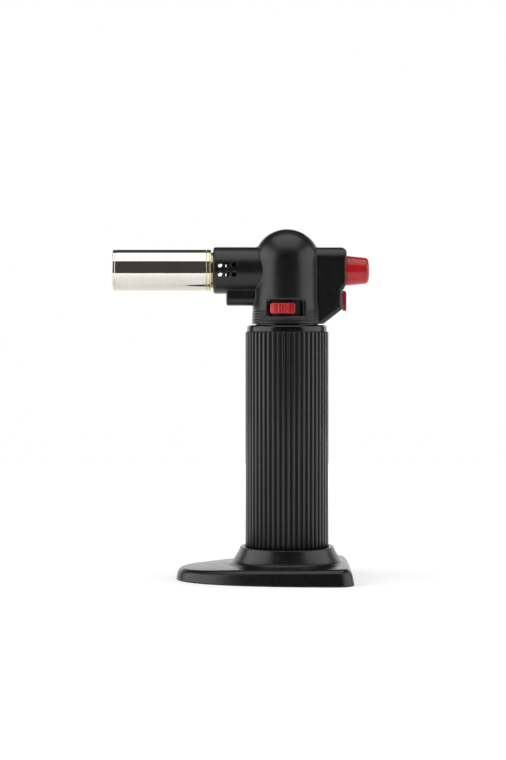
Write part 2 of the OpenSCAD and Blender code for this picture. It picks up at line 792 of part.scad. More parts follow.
module flame_holder() {
    x0 = spigot_front - holder_t;
    color([0.6, 0.58, 0.55]) difference() {
        rod_x(x0, spigot_front, tube_in - slip);
        rod_x(x0 - over, spigot_front + over, sleeve_r + slip, z = sleeve_z);
        rod_x(x0 - over, spigot_front + over, 1.5);
        for (ring = [[3.8, 7], [8.6, flame_holes]]) for (i = [0:ring[1] - 1]) {
            a = 90 + 360 * (i + 0.5) / ring[1];
            if (norm([ring[0] * cos(a), ring[0] * sin(a) + 6.2]) > sleeve_r + 1.4)
                rod_x(x0 - over, spigot_front + over, 0.8,
                    z = burner_z + ring[0] * sin(a), y = ring[0] * cos(a));
        }
    }
}

module ceramic_sleeve() {
    color([0.92, 0.9, 0.85]) difference() {
        rod_x(spigot_front - 8, barrel_front + 4.5, sleeve_r, z = sleeve_z);
        rod_x(spigot_front - 9, barrel_front + 6, wire_r + slip, z = sleeve_z);
    }
}

module electrode() {
    tip_x = spigot_front - 12;
    bend = 1.5;
    color([0.6, 0.6, 0.62]) {
        rod_x(tip_x, barrel_front + 6, wire_r, z = sleeve_z);
        translate([tip_x, 0, sleeve_z + bend]) rotate([90, 0, 0]) rotate_extrude(angle = 90)
            translate([-bend, 0]) circle(r = wire_r);
        translate([tip_x - bend, 0, sleeve_z + bend]) cylinder(h = 1.5, r = wire_r);
    }
}

module ignition_lead() {
    route = [
        [barrel_front + 6, 0, sleeve_z], [barrel_front + 7.5, 0, sleeve_z], [barrel_front + 11, 0, lead_z],
        [rib_x, 0, lead_z], [rib_x + 4, 0.6, lead_z], [-16, 3.6, lead_z + 0.3], [-9, 3.6, lead_z + 2.4],
        [piezo_x0 - 2, 3, piezo_z0 + 3], [piezo_x0 - 1, 3, piezo_z0 + 3], [piezo_x0, 3, piezo_z0 + 3]
    ];
    color([0.75, 0.1, 0.1]) wire_along(smooth_path(route), lead_r, [0, 0, 1]);
}

// ---------- ignition ----------

module piezo_body() {
    color([0.15, 0.15, 0.16]) difference() {
        block([piezo_x0, -piezo_half_t, piezo_z0], [piezo_x1, piezo_half_t, piezo_z0 + piezo_h]);
        rod_x(piezo_x0 + 9, piezo_x1 + over, plunger_r + 0.1, z = button_z);
    }
}

module piezo_plunger() {
    color([0.85, 0.85, 0.83]) rod_x(piezo_x0 + 9 + button_travel + 0.5, hub_x0 + 7, plunger_r, z = button_z);
}

module button_spring() {
    color([0.7, 0.7, 0.72]) translate([piezo_x1 + 0.6, 0, button_z]) rotate([0, 90, 0])
        wire_along(helix(4.6, hub_x0 - piezo_x1 - 1.4, 6), 0.42, [0, 0, 1], 6);
}

module ignition_button() {
    end_r = button_r - 1.1;
    round_r = 1.5;
    color([0.72, 0.09, 0.12]) {
        difference() {
            turned_x(concat(
                [[0, skirt_x0], [button_r, skirt_x0], [button_r, rear_reach + 0.8]],
                arc([end_r - round_r, button_end - round_r - 0.3], round_r, 0, 80),
                [[0, button_end]]
            ), z = button_z);
            rod_x(skirt_x0 - over, button_end - 3, button_r - 1.8, z = button_z);
        }
        difference() {
            rod_x(hub_x0, button_end - 2, plunger_r + 1.6, z = button_z);
            rod_x(hub_x0 - over, hub_x0 + 7, plunger_r + slip, z = button_z);
        }
        for (side = [-1, 1]) {
            z = button_z + side * (button_r + 0.45);
            block([skirt_x0, -2.4, z - 1.05], [skirt_x0 + 2, 2.4, z + 1.05]);
        }
    }
}

module release_slide() {
    ramp_z = pin_top + pin_gap;
    flat_x = button_travel + 1.5;
    color([0.85, 0.82, 0.7]) slab_y([
        [slide_x0, slide_top], [slide_x0, ramp_z - ramp * slide_x0], [flat_x, ramp_z - ramp * flat_x],
        [skirt_x0, ramp_z - ramp * flat_x], [skirt_x0, slide_top]
    ], -slide_half_w, slide_half_w);
}

// ---------- flame lock and flow lever ----------

module flame_lock() {
    x0 = rear_low_x + 0.3;
    x1 = rear_reach;
    z1 = lock_top;
    tooth = 0.9;
    color([0.72, 0.07, 0.1]) {
        difference() {
            slab_y([[x0, z1 - lock_h], [x1, z1 - lock_h], [x1, z1 - 1], [x1 - 1, z1], [x0, z1]],
                -lock_w / 2, lock_w / 2);
            for (i = [0:6]) translate([x1 + 0.25, 0, z1 - lock_h + 1.2 + i * tooth])
                rotate([0, 45, 0]) cube([0.6, 3 * lock_w, 0.6], center = true);
        }
        block([lock_back, -lock_stem_w / 2, lock_stem_z0], [x0 + 0.5, lock_stem_w / 2, lock_stem_z1]);
        block([lock_back, -3.4, lock_stem_z0 - 0.8], [lock_back + 1.2, 3.4, lock_stem_z1 + 0.7]);
    }
}

// The black lever: its hub on the valve, an arm, and the curved shutter behind the slot
module flow_lever() {
    color([0.08, 0.08, 0.09]) difference() {
        union() {
            ring_segment(skirt_r - skirt_t, skirt_r, thumb_a0 - skirt_over, thumb_a1 + skirt_over,
                thumb_z0 - skirt_rise, thumb_z0 + thumb_h + skirt_rise);
            rotate([0, 0, thumb_mid])
                block([-arm_w / 2, 0.4 - skirt_r, arm_z0], [arm_w / 2, 0.5 - lever_hub_r, arm_z1]);
            pipe_z(arm_z0 - 1, arm_z1 + 0.8, lever_hub_r, collar_r + slip);
        }
        rotate([0, 0, thumb_mid]) rod_y(0, (arm_z0 + arm_z1) / 2, -head_r, peg_len - skirt_r, peg_r);
    }
}

// The red thumb piece, pressed into the shutter by a peg
module flow_thumb() {
    color([0.75, 0.1, 0.12]) {
        ring_segment(skirt_r, head_r + 0.4, thumb_a0, thumb_a1, thumb_z0, thumb_z0 + thumb_h);
        for (i = [0:ridge_count - 1]) {
            a = thumb_mid + 2 + ridge_pitch * (i - (ridge_count - 1) / 2);
            ring_segment(head_r, head_r + 0.9, a - ridge_half, a + ridge_half, thumb_z0, thumb_z0 + thumb_h);
        }
        rotate([0, 0, thumb_mid]) rod_y(0, (arm_z0 + arm_z1) / 2, -skirt_r - 0.5, peg_len - skirt_r, peg_r);
    }
}

module flow_collar() {
    color([0.8, 0.65, 0.3]) pipe_z(thumb_z0 + 1.2, thumb_z0 + 5.9, collar_r, valve_r + 0.06);
}

stand();
base_plate();
base_screws();
base_pads();
grip_sleeve();
fuel_tank();
tank_cap();
tank_seal();
pickup_tube();
shoulder_ring();
head_left();
head_right();
housing_screws();
valve_body();
valve_pin();
gas_tube();
jet_holder();
gas_jet();
burner_base();
tube_ring();
flame_tube();
flame_holder();
ceramic_sleeve();
electrode();
ignition_lead();
piezo_body();
piezo_plunger();
button_spring();
ignition_button();
release_slide();
flame_lock();
flow_lever();
flow_thumb();
flow_collar();
filler_body();
filler_seal();
filler_stem();
filler_spring();
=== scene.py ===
"""Butane torch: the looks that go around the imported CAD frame."""

import math

import bpy
import bmesh
import numpy as np
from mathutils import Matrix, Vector


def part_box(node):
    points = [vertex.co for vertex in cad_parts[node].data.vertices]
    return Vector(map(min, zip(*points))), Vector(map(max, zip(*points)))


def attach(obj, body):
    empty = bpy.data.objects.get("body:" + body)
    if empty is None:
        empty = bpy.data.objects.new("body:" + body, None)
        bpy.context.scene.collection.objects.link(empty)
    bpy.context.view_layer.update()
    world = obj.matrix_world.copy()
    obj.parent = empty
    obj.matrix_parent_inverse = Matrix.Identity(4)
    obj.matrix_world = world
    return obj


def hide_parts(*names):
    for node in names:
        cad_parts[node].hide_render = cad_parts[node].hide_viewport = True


bl_info = {
    "name": "Butane torch",
    "version": (1, 0, 0),
    "blender": (4, 5, 0),
    "location": "3D View > Sidebar > Torch",
    "description": "Builds the moulded, turned and finished pieces of a butane torch around its CAD frame",
    "category": "Object",
}

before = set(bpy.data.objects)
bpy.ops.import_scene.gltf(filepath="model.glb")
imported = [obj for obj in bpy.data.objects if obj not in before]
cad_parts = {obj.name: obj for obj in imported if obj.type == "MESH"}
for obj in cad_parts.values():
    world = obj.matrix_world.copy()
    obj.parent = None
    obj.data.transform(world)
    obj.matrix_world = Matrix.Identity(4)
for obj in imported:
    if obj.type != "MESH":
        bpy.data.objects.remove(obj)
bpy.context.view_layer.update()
MM = 0.001


def span(node):
    """A node's lowest and highest corner in millimetres."""
    low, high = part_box(node)
    return [v / MM for v in low], [v / MM for v in high]


# Measures taken from the frame, in millimetres
HEAD_LOW, HEAD_HIGH = span("head_left")
FOOT_Z = HEAD_LOW[2]
HEAD_R = -HEAD_LOW[1]
DOME_Z = HEAD_HIGH[2] - HEAD_R
BARREL_X = HEAD_LOW[0]
REAR_X = HEAD_HIGH[0]
TUBE_LOW, TUBE_HIGH = span("flame_tube")
BURNER_Z = (TUBE_LOW[2] + TUBE_HIGH[2]) / 2
TUBE_R = TUBE_HIGH[1]
RING_LOW, RING_HIGH = span("tube_ring")
NECK_LOW = span("burner_base")[0]
BUTTON_LOW, BUTTON_HIGH = span("ignition_button")
PLUNGER_LOW, PLUNGER_HIGH = span("piezo_plunger")
BUTTON_Z = (PLUNGER_LOW[2] + PLUNGER_HIGH[2]) / 2
STAND_LOW, STAND_HIGH = span("stand")
GRIP_LOW, GRIP_HIGH = span("grip_sleeve")
GRIP_R = GRIP_HIGH[1]
RING_S_LOW, RING_S_HIGH = span("shoulder_ring")
THUMB_LOW, THUMB_HIGH = span("flow_thumb")
PLATE_HIGH = span("base_plate")[1]


# ---------- distances to surfaces, in millimetres ----------


def join(a, b, r):
    """Both shapes, with a hollow fillet of radius r where they meet."""
    return np.maximum(r, np.minimum(a, b)) - np.hypot(np.maximum(r - a, 0), np.maximum(r - b, 0))


def clip(a, b, r):
    """What the shapes share, with the edge rounded to radius r."""
    return np.minimum(-r, np.maximum(a, b)) + np.hypot(np.maximum(r + a, 0), np.maximum(r + b, 0))


def carve(a, b, r):
    """The first shape without the second, with the edge rounded to radius r."""
    return clip(a, -b, r)


def rect(u, v, u0, u1, v0, v1, r):
    """A rectangle with rounded corners."""
    du = np.abs(u - (u0 + u1) / 2) - (u1 - u0) / 2 + r
    dv = np.abs(v - (v0 + v1) / 2) - (v1 - v0) / 2 + r
    return np.hypot(np.maximum(du, 0), np.maximum(dv, 0)) + np.minimum(np.maximum(du, dv), 0) - r


def outline(u, v, points):
    """A closed polygon."""
    nearest = np.full(u.shape, np.inf)
    sign = np.ones(u.shape)
    for (ax, ay), (bx, by) in zip(points, points[1:] + points[:1]):
        ex, ey = bx - ax, by - ay
        wx, wy = u - ax, v - ay
        t = np.clip((wx * ex + wy * ey) / (ex * ex + ey * ey), 0, 1)
        nearest = np.minimum(nearest, (wx - ex * t) ** 2 + (wy - ey * t) ** 2)
        above, below, left = v >= ay, v < by, ex * wy > ey * wx
        sign = np.where((above & below & left) | (~above & ~below & ~left), -sign, sign)
    return sign * np.sqrt(nearest)


# ---------- meshes ----------


def steps(low, high, size, fine=()):
    """Grid lines from low to high, closer together inside the fine ranges."""
    edges = sorted({low, high, *(min(max(e, low), high) for a, b, _ in fine for e in (a, b))})
    lines = []
    for a, b in zip(edges, edges[1:]):
        gap = min([size] + [g for f0, f1, g in fine if f0 <= (a + b) / 2 <= f1])
        count = max(1, math.ceil((b - a) / gap - 1e-6))
        lines += [a + (b - a) * i / count for i in range(count)]
    return np.array(lines + [high])


def sampled(field, axes):
    """The field on a grid, worked out in full only near the surface."""
    block, margin, spare = 6, 1.35, 0.6
    shape = [len(a) for a in axes]
    middles, halves, owners = [], [], []
    for a in axes:
        starts = np.arange(0, len(a), block)
        ends = np.minimum(starts + block - 1, len(a) - 1)
        middles.append((a[starts] + a[ends]) / 2)
        halves.append((a[ends] - a[starts]) / 2)
        owners.append(np.arange(len(a)) // block)
    coarse = np.stack(np.meshgrid(*middles, indexing="ij"), -1).reshape(-1, 3)
    reach = np.sqrt(sum(h**2 for h in np.meshgrid(*halves, indexing="ij")))
    far = field(coarse).reshape(reach.shape)
    near = np.abs(far) < reach * margin + spare
    pick = np.ix_(*owners)
    values = far[pick].copy()
    mask = near[pick]
    index = np.nonzero(mask)
    points = np.stack([a[i] for a, i in zip(axes, index)], -1)
    batch = 400000
    parts = [field(points[i : i + batch]) for i in range(0, len(points), batch)]
    values[index] = np.concatenate(parts)
    return values.reshape(shape)


def moulding(name, field, axes):
    """A mesh over the field's zero surface: one point in each crossed cell, pulled onto the surface."""
    values = sampled(field, axes)
    inside = values < 0
    corners = [(i, j, k) for i in (0, 1) for j in (0, 1) for k in (0, 1)]
    size = [n - 1 for n in values.shape]

    def shifted(array, c):
        return array[c[0] : c[0] + size[0], c[1] : c[1] + size[1], c[2] : c[2] + size[2]]

    count = sum(shifted(inside, c).astype(np.int8) for c in corners)
    cells = np.nonzero((count > 0) & (count < 8))
    number = np.full(size, -1, np.int64)
    number[cells] = np.arange(len(cells[0]))
    total, hits = np.zeros((len(cells[0]), 3)), np.zeros(len(cells[0]))
    for a in corners:
        for axis in range(3):
            if a[axis]:
                continue
            b = tuple(1 if n == axis else v for n, v in enumerate(a))
            ia = tuple(c + o for c, o in zip(cells, a))
            ib = tuple(c + o for c, o in zip(cells, b))
            va, vb = values[ia], values[ib]
            crossed = (va < 0) != (vb < 0)
            share = np.where(crossed, va / np.where(crossed, va - vb, 1), 0)
            pa = np.stack([axes[n][ia[n]] for n in range(3)], -1)
            pb = np.stack([axes[n][ib[n]] for n in range(3)], -1)
            total += (pa + (pb - pa) * share[:, None]) * crossed[:, None]
            hits += crossed
    points = total / hits[:, None]
    cell = min(float(np.min(np.diff(a))) for a in axes)
    h, passes = 0.01, 4
    longest = 0.6 * max(cell, 0.2)
    for _ in range(passes):
        slope = np.stack([(field(points + h * n) - field(points - h * n)) / (2 * h) for n in np.eye(3)], -1)
        step = field(points)[:, None] * slope / np.maximum((slope**2).sum(1, keepdims=True), 0.2)
        length = np.linalg.norm(step, axis=1, keepdims=True)
        points = points - step * np.minimum(1, longest / np.maximum(length, 1e-9))
    faces = []
    for axis in range(3):
        low = [slice(0, n) for n in values.shape]
        high = list(low)
        low[axis], high[axis] = slice(0, -1), slice(1, None)
        first, second = inside[tuple(low)], inside[tuple(high)]
        at = np.array(np.nonzero(first != second)).T
        u, v = (axis + 1) % 3, (axis + 2) % 3
        at = at[(at[:, u] > 0) & (at[:, v] > 0) & (at[:, u] < size[u]) & (at[:, v] < size[v])]
        ring = []
        for du, dv in ((1, 1), (0, 1), (0, 0), (1, 0)):
            c = at.copy()
            c[:, u] -= du
            c[:, v] -= dv
            ring.append(number[tuple(c.T)])
        quads = np.stack(ring, -1)
        outward = first[tuple(at.T)]
        faces.append(np.where(outward[:, None], quads, quads[:, ::-1]))
    return mesh_object(name, points, np.concatenate(faces))


def mesh_object(name, points, faces, crease=None):
    """An object from points in millimetres, shaded smooth, with edges over the crease angle kept sharp."""
    mesh = bpy.data.meshes.new(name)
    mesh.from_pydata((np.asarray(points, float) * MM).tolist(), [], [list(map(int, f)) for f in faces])
    mesh.validate()
    mesh.polygons.foreach_set("use_smooth", [True] * len(mesh.polygons))
    if crease:
        mesh.set_sharp_from_angle(angle=math.radians(crease))
    made = bpy.data.objects.new(name, mesh)
    bpy.context.scene.collection.objects.link(made)
    return made


def eased(points, radii, count=6):
    """A profile with its corners rounded; radii holds one radius for each corner."""
    out, n = [], len(points)
    for i, (p, r) in enumerate(zip(points, radii)):
        if r <= 0:
            out.append(tuple(p))
            continue
        p, a, b = (np.array(q, float) for q in (p, points[i - 1], points[(i + 1) % n]))
        ua, ub = (a - p) / np.linalg.norm(a - p), (b - p) / np.linalg.norm(b - p)
        half = math.acos(max(-1, min(1, float(ua @ ub)))) / 2
        back = min(r / math.tan(half), 0.49 * np.linalg.norm(a - p), 0.49 * np.linalg.norm(b - p))
        s, e = p + ua * back, p + ub * back
        for k in range(count + 1):
            t = k / count
            out.append(tuple((1 - t) ** 2 * s + 2 * t * (1 - t) * p + t * t * e))
    return out


def held(profile, near=0.12):
    """The profile with points just inside the ends of its long stretches, so that they shade evenly."""
    out = []
    for a, b in zip(profile, profile[1:] + profile[:1]):
        out.append(a)
        gap = math.dist(a, b)
        if gap > 8 * near and max(a[0], b[0]) > 0:
            for t in (near / gap, 1 - near / gap):
                out.append((a[0] + (b[0] - a[0]) * t, a[1] + (b[1] - a[1]) * t))
    return out


def turned(name, profile, axis="z", centre=(0, 0, 0), sides=192, crease=35):
    """Spins a closed profile of (radius, distance along the axis) points."""
    profile = held(list(profile))
    angles = np.linspace(0, 2 * math.pi, sides, endpoint=False)
    points, faces, n = [], [], len(profile)
    for a in angles:
        for r, s in profile:
            r = max(r, 0.0)
            round_ = (r * math.cos(a), r * math.sin(a), s)
            points.append({"z": round_, "x": (s, round_[0], round_[1])}[axis])
    for i in range(sides):
        j = (i + 1) % sides
        for k in range(n):
            m = (k + 1) % n
            faces.append((i * n + k, i * n + m, j * n + m, j * n + k))
    made = mesh_object(name, np.array(points) + np.array(centre), faces)
    bm = bmesh.new()
    bm.from_mesh(made.data)
    bmesh.ops.remove_doubles(bm, verts=bm.verts, dist=1e-7)
    bmesh.ops.recalc_face_normals(bm, faces=bm.faces)
    bm.to_mesh(made.data)
    bm.free()
    made.data.polygons.foreach_set("use_smooth", [True] * len(made.data.polygons))
    made.data.set_sharp_from_angle(angle=math.radians(crease))
    return made


def cut_flat(made, y, keep):
    """Cuts a moulding along a plane across Y and closes the cut, keeping the side that keep points to."""
    bm = bmesh.new()
    bm.from_mesh(made.data)
    whole = bm.verts[:] + bm.edges[:] + bm.faces[:]
    facing = (0, -keep, 0)
    cut = bmesh.ops.bisect_plane(bm, geom=whole, plane_co=(0, y * MM, 0), plane_no=facing, clear_outer=True)
    rim = [e for e in cut["geom_cut"] if isinstance(e, bmesh.types.BMEdge)]
    bmesh.ops.triangle_fill(bm, edges=rim, use_beauty=True, normal=facing)
    bm.to_mesh(made.data)
    bm.free()
    made.data.polygons.foreach_set("use_smooth", [True] * len(made.data.polygons))
    made.data.set_sharp_from_angle(angle=math.radians(60))


def placed(made, body, slot, finish, *nodes):
    """Puts a finish on a piece, ties it to its body and hides the nodes that it stands for. The slot is not
    used.
    """
    made.data.materials.clear()
    made.data.materials.append(finish)
    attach(made, body)
    if nodes:
        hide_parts(*nodes)
    return made


# ---------- materials ----------


class Signal:
    """An output socket that can be used in sums."""

    def __init__(self, finish, socket):
        self.finish, self.socket = finish, socket

    def _maths(self, operation, a, b):
        return self.finish.add("ShaderNodeMath", {"operation": operation}, {0: a, 1: b})

    def __add__(self, other):
        return self._maths("ADD", self, other)

    __radd__ = __add__

    def __sub__(self, other):
        return self._maths("SUBTRACT", self, other)

    def __rsub__(self, other):
        return self._maths("SUBTRACT", other, self)

    def __mul__(self, other):
        return self._maths("MULTIPLY", self, other)

    __rmul__ = __mul__

    def __pow__(self, other):
        return self._maths("POWER", self, other)


class Finish:
    """A node tree for one material, with its shader and its output in place."""

    def __init__(self, name, **constants):
        self.material = bpy.data.materials.new(name)
        self.material.use_nodes = True
        self.tree = self.material.node_tree
        self.tree.nodes.clear()
        end = self.tree.nodes.new("ShaderNodeOutputMaterial")
        self.shader = self.tree.nodes.new("ShaderNodeBsdfPrincipled")
        self.tree.links.new(self.shader.outputs[0], end.inputs[0])
        for key, value in constants.items():
            self.shader.inputs[key.replace("_", " ")].default_value = value

    def add(self, kind, settings=None, sockets=None, out=0):
        """Adds a node: its settings first, then values or links of its sockets."""
        node = self.tree.nodes.new(kind)
        for key, value in (settings or {}).items():
            if key == "stops":
                ramp = node.color_ramp.elements
                while len(ramp) < len(value):
                    ramp.new(0.5)
                for stop, (at, colour) in zip(ramp, value):
                    stop.position, stop.color = at, colour
            else:
                setattr(node, key, value)
        for key, value in (sockets or {}).items():
            if isinstance(value, Signal):
                self.tree.links.new(value.socket, node.inputs[key])
            else:
                node.inputs[key].default_value = value
        return Signal(self, node.outputs[out])

    def drive(self, **sockets):
        """Links signals to the shader's own sockets."""
        for key, signal in sockets.items():
            self.tree.links.new(signal.socket, self.shader.inputs[key.replace("_", " ")])
        return self

    def place(self, scale=(1, 1, 1)):
        """Object coordinates in metres, stretched by a scale for each axis."""
        where = self.add("ShaderNodeTexCoord", out=3)
        return self.add("ShaderNodeMapping", {"vector_type": "POINT"}, {"Vector": where, "Scale": scale})

    def noise(self, scale, detail=2.0, stretch=(1, 1, 1), roughness=0.5):
        """Soft noise from about 0.25 to 0.75."""
        return self.add(
            "ShaderNodeTexNoise",
            {"noise_dimensions": "3D"},
            {"Vector": self.place(stretch), "Scale": scale, "Detail": detail, "Roughness": roughness},
        )

    def spread(self, signal, low, high, out_low=0.0, out_high=1.0):
        """Stretches a signal from one range to another, held at both ends."""
        return self.add(
            "ShaderNodeMapRange",
            {"clamp": True},
            {"Value": signal, "From Min": low, "From Max": high, "To Min": out_low, "To Max": out_high},
        )

    def blend(self, share, first, second):
        """A colour between two colours."""
        return self.add("ShaderNodeMix", {"data_type": "RGBA"}, {0: share, 6: first, 7: second}, out=2)

    def bump(self, height, depth, normal=None):
        """Relief of a depth in millimetres."""
        sockets = {"Height": height, "Distance": depth * MM, "Strength": 1.0}
        if normal:
            sockets["Normal"] = normal
        return self.add("ShaderNodeBump", {}, sockets)


def shade(colour, factor):
    """A colour made lighter or darker."""
    return tuple(min(1.0, c * factor) for c in colour[:3]) + (1.0,)


def moulded_plastic(name, colour, roughness, grain, wear=0.5, specular=0.5, painted_valley_shade=None):
    """Injection-moulded plastic: spark-eroded grain, faint flow marks, small scuffs and rubbed edges.

    The last argument holds two radii around Z, in millimetres, between which a ribbed surface goes
    from painted shade on a dull surface in its valleys to its own colour with a rubbed coat on its rib
    tops.
    """
    f = Finish(name, IOR=1.48, Specular_IOR_Level=specular, Coat_Roughness=0.3, Coat_IOR=1.5)
    flow = f.noise(55, 3)
    cloud = f.noise(260, 2)
    pits = f.noise(2600, 2, roughness=0.6)
    scuffs = f.spread(f.noise(900, 4, stretch=(1, 1, 0.08)), 0.62, 0.74)
    rub = f.spread(f.add("ShaderNodeNewGeometry", out=7), 0.53, 0.62) * wear
    tone = f.spread(flow * 0.6 + cloud * 0.4, 0.35, 0.65)
    base = f.blend(tone, shade(colour, 0.86), shade(colour, 1.14))
    base = f.blend(rub * 0.5, base, shade(colour, 2.0))
    rough = f.spread(cloud, 0.3, 0.7, roughness - 0.035, roughness + 0.035)
    rough = rough + scuffs * 0.05 - rub * 0.06
    relief = f.bump(pits + cloud * 0.5, grain)
    if painted_valley_shade:
        radius = f.add("ShaderNodeVectorMath", {"operation": "LENGTH"}, {0: f.place((1, 1, 0))}, out=1)
        top = f.spread(radius, painted_valley_shade[0] * MM, painted_valley_shade[1] * MM)
        # painted shade: the valleys between the ribs are darkened to 0.3 of the colour, and the rib tops
        # keep it
        base = f.blend(top, shade(colour, 0.3), base)
        rough = rough + 0.25 - top * 0.25
        f.drive(Coat_Weight=top * 0.6)
    return f.drive(Base_Color=base, Roughness=rough, Normal=relief).material


def drawn_metal(name, colour, roughness, line, axis="x", tint=None):
    """Drawn or turned metal: fine lines around the axis, a faint haze and small marks."""
    f = Finish(name, Metallic=1.0, IOR=2.4)
    stretch = {"x": (1, 0.02, 0.02), "y": (0.02, 1, 0.02), "z": (0.02, 0.02, 1)}[axis]
    lines = f.noise(2400, 3, stretch)
    haze = f.noise(70, 3)
    marks = f.spread(f.noise(480, 4, roughness=0.7), 0.64, 0.72)
    tone = f.spread(haze * 0.5 + lines * 0.5, 0.35, 0.65)
    base = f.blend(tone, shade(colour, 0.94), shade(colour, 1.05))
    if tint:
        base = f.blend(f.spread(haze, 0.42, 0.62) * 0.8, base, tint)
    rough = f.spread(haze, 0.3, 0.7, roughness * 0.75, roughness * 1.3) + marks * 0.08
    relief = f.bump(lines, line)
    return f.drive(Base_Color=base, Roughness=rough, Normal=relief).material


def soft_solid(name, colour, roughness, grain=0.012):
    """Rubber, sheathing or ceramic: a dusty surface with fine pits."""
    f = Finish(name, IOR=1.5)
    dust = f.noise(420, 4)
    pits = f.noise(1900, 3)
    base = f.blend(f.spread(dust, 0.4, 0.7), shade(colour, 0.85), shade(colour, 1.25))
    rough = f.spread(dust, 0.3, 0.7, roughness - 0.05, roughness + 0.05)
    return f.drive(Base_Color=base, Roughness=rough, Normal=f.bump(pits, grain)).material


# ---------- settings ----------


def length(name, default, description):
    """A length setting in metres."""
    return bpy.props.FloatProperty(
        name=name, description=description, default=default, unit="LENGTH", subtype="DISTANCE", precision=5
    )


def colour(name, default, description):
    """A colour setting."""
    return bpy.props.FloatVectorProperty(
        name=name, description=description, default=default, size=4, min=0, max=1, subtype="COLOR"
    )


class TorchShape(bpy.types.PropertyGroup):
    """Sizes of the details that the looks add to the frame."""

    junction: length("Junction fillet", 0.0007, "Hollow fillet where the barrel meets the column")
    barrel_edge: length("Barrel edge", 0.0012, "Rounding of the barrel's front edge")
    rear_crown: length("Housing crown", 0.0074, "Rounding of the rear housing's two top edges")
    rear_edge: length("Housing back edge", 0.0018, "Rounding of the rear housing's upright edges")
    rear_corner: length("Housing back corner", 0.0032, "Rounding between the rear housing's top and back")
    slot_bevel: length("Slot bevel", 0.0013, "Width of the bevelled frame around the lever's slot")
    seam: length("Shell seam", 0.00022, "Radius of the groove where the two head shells meet")
    groove: length("Foot groove", 0.00038, "Depth of the fine grooves around the column's foot")
    rib_edge: bpy.props.FloatProperty(
        name="Rib edge",
        description="Share of a rib's pitch taken by each sloping side",
        default=0.07,
        min=0.03,
        max=0.12,
    )
    fineness: bpy.props.FloatProperty(
        name="Mesh step",
        description="Grid step of the moulded pieces in millimetres",
        default=0.5,
        min=0.3,
        max=1.5,
    )


class TorchColours(bpy.types.PropertyGroup):
    """Colours of the torch's finishes."""

    black: colour("Head black", (0.0023, 0.0023, 0.0026, 1), "Satin black of the head")
    ribbed: colour("Grip black", (0.0085, 0.0085, 0.0085, 1), "Matte black of the ribbed grip")
    base: colour("Stand black", (0.0027, 0.0027, 0.003, 1), "Black of the stand")
    red: colour("Control red", (0.46, 0.011, 0.014, 1), "Red of the button, the lock and the lever")
    steel: colour("Tube steel", (0.70, 0.655, 0.61, 1), "Polished steel of the flame tube")
    zinc: colour("Ring yellow", (0.72, 0.66, 0.50, 1), "Yellow passivated zinc of the ring")
    zinc_tint: colour("Ring tint", (0.62, 0.60, 0.34, 1), "Greenish tint in the passivated zinc")
    neck: colour("Neck gold", (0.58, 0.42, 0.20, 1), "Golden zinc of the burner's neck")
    brass: colour("Brass", (0.80, 0.58, 0.25, 1), "Brass of the valves and the jet")
    copper: colour("Copper", (0.86, 0.45, 0.29, 1), "Copper of the gas tube")


class Piece:
    """What the piece operators share."""

    bl_options = {"REGISTER", "UNDO"}

    def execute(self, context):
        """Builds the pieces from the scene's sizes and colours."""
        self.build(context.scene.torch_shape, context.scene.torch_colours)
        return {"FINISHED"}


# ---------- the head ----------


# Sizes in millimetres, angles in degrees
FLARE, FLARE_TOP, FLARE_H = 0.9, 15, 12
BARREL_R = 12.7
KEEL_HALF, KEEL_LOW, KEEL_X = 7, BURNER_Z - 19.2, BARREL_X + 7.1
KEEL_ROUND, KEEL_EDGE = 4, 1.1
REAR_HALF, REAR_LOW, REAR_TOP = 9.3, FOOT_Z - 20, FOOT_Z + 41.6
UNDERCUT_X, UNDERCUT_LOW = REAR_X - 2.1, FOOT_Z - 7.6
UNDERCUT_ROUND = 2.6
HEAD_WALL = 2.0
CLAMP_R, CLAMP_H = 12.1, 8
BARREL_BORE = 8.95
BUTTON_BORE, BUTTON_ROOM = 8.35, 6
AIR_X = BARREL_X + 3.7
AIR_PITCH, AIR_GAP, AIR_R, AIR_RISE = 3.9, 4.9, 1.3, 0.2
SLOT_A0, SLOT_A1 = -33.6, 27.6
SLOT_Z0 = FOOT_Z + 4.35
SLOT_H, SLOT_DEPTH = 8.0, 5
BEVEL_SLOPE, BEVEL_DEPTH = 1.2, 1.6
GROOVES, GROOVE_PITCH, GROOVE_Z0, GROOVE_END_X = 5, 1.45, 1.35, 15.4
SCREWS = [(-27.6, FOOT_Z + 14.1), (22.5, FOOT_Z + 11.1), (-10.5, DOME_Z + 6.7), (12.5, DOME_Z + 6.3)]
SEAT_R, SEAT_Y, POST_R, SCREW_R = 2.4, 4.5, 3.4, 1.45
POST_Y = 6
SHELL_GAP = 0.008


def column_r(z):
    """The column's radius, a little wider at its foot."""
    share = np.clip((FOOT_Z + FLARE_TOP - z) / FLARE_H, 0, 1)
    return HEAD_R + FLARE * share**2 * (3 - 2 * share)


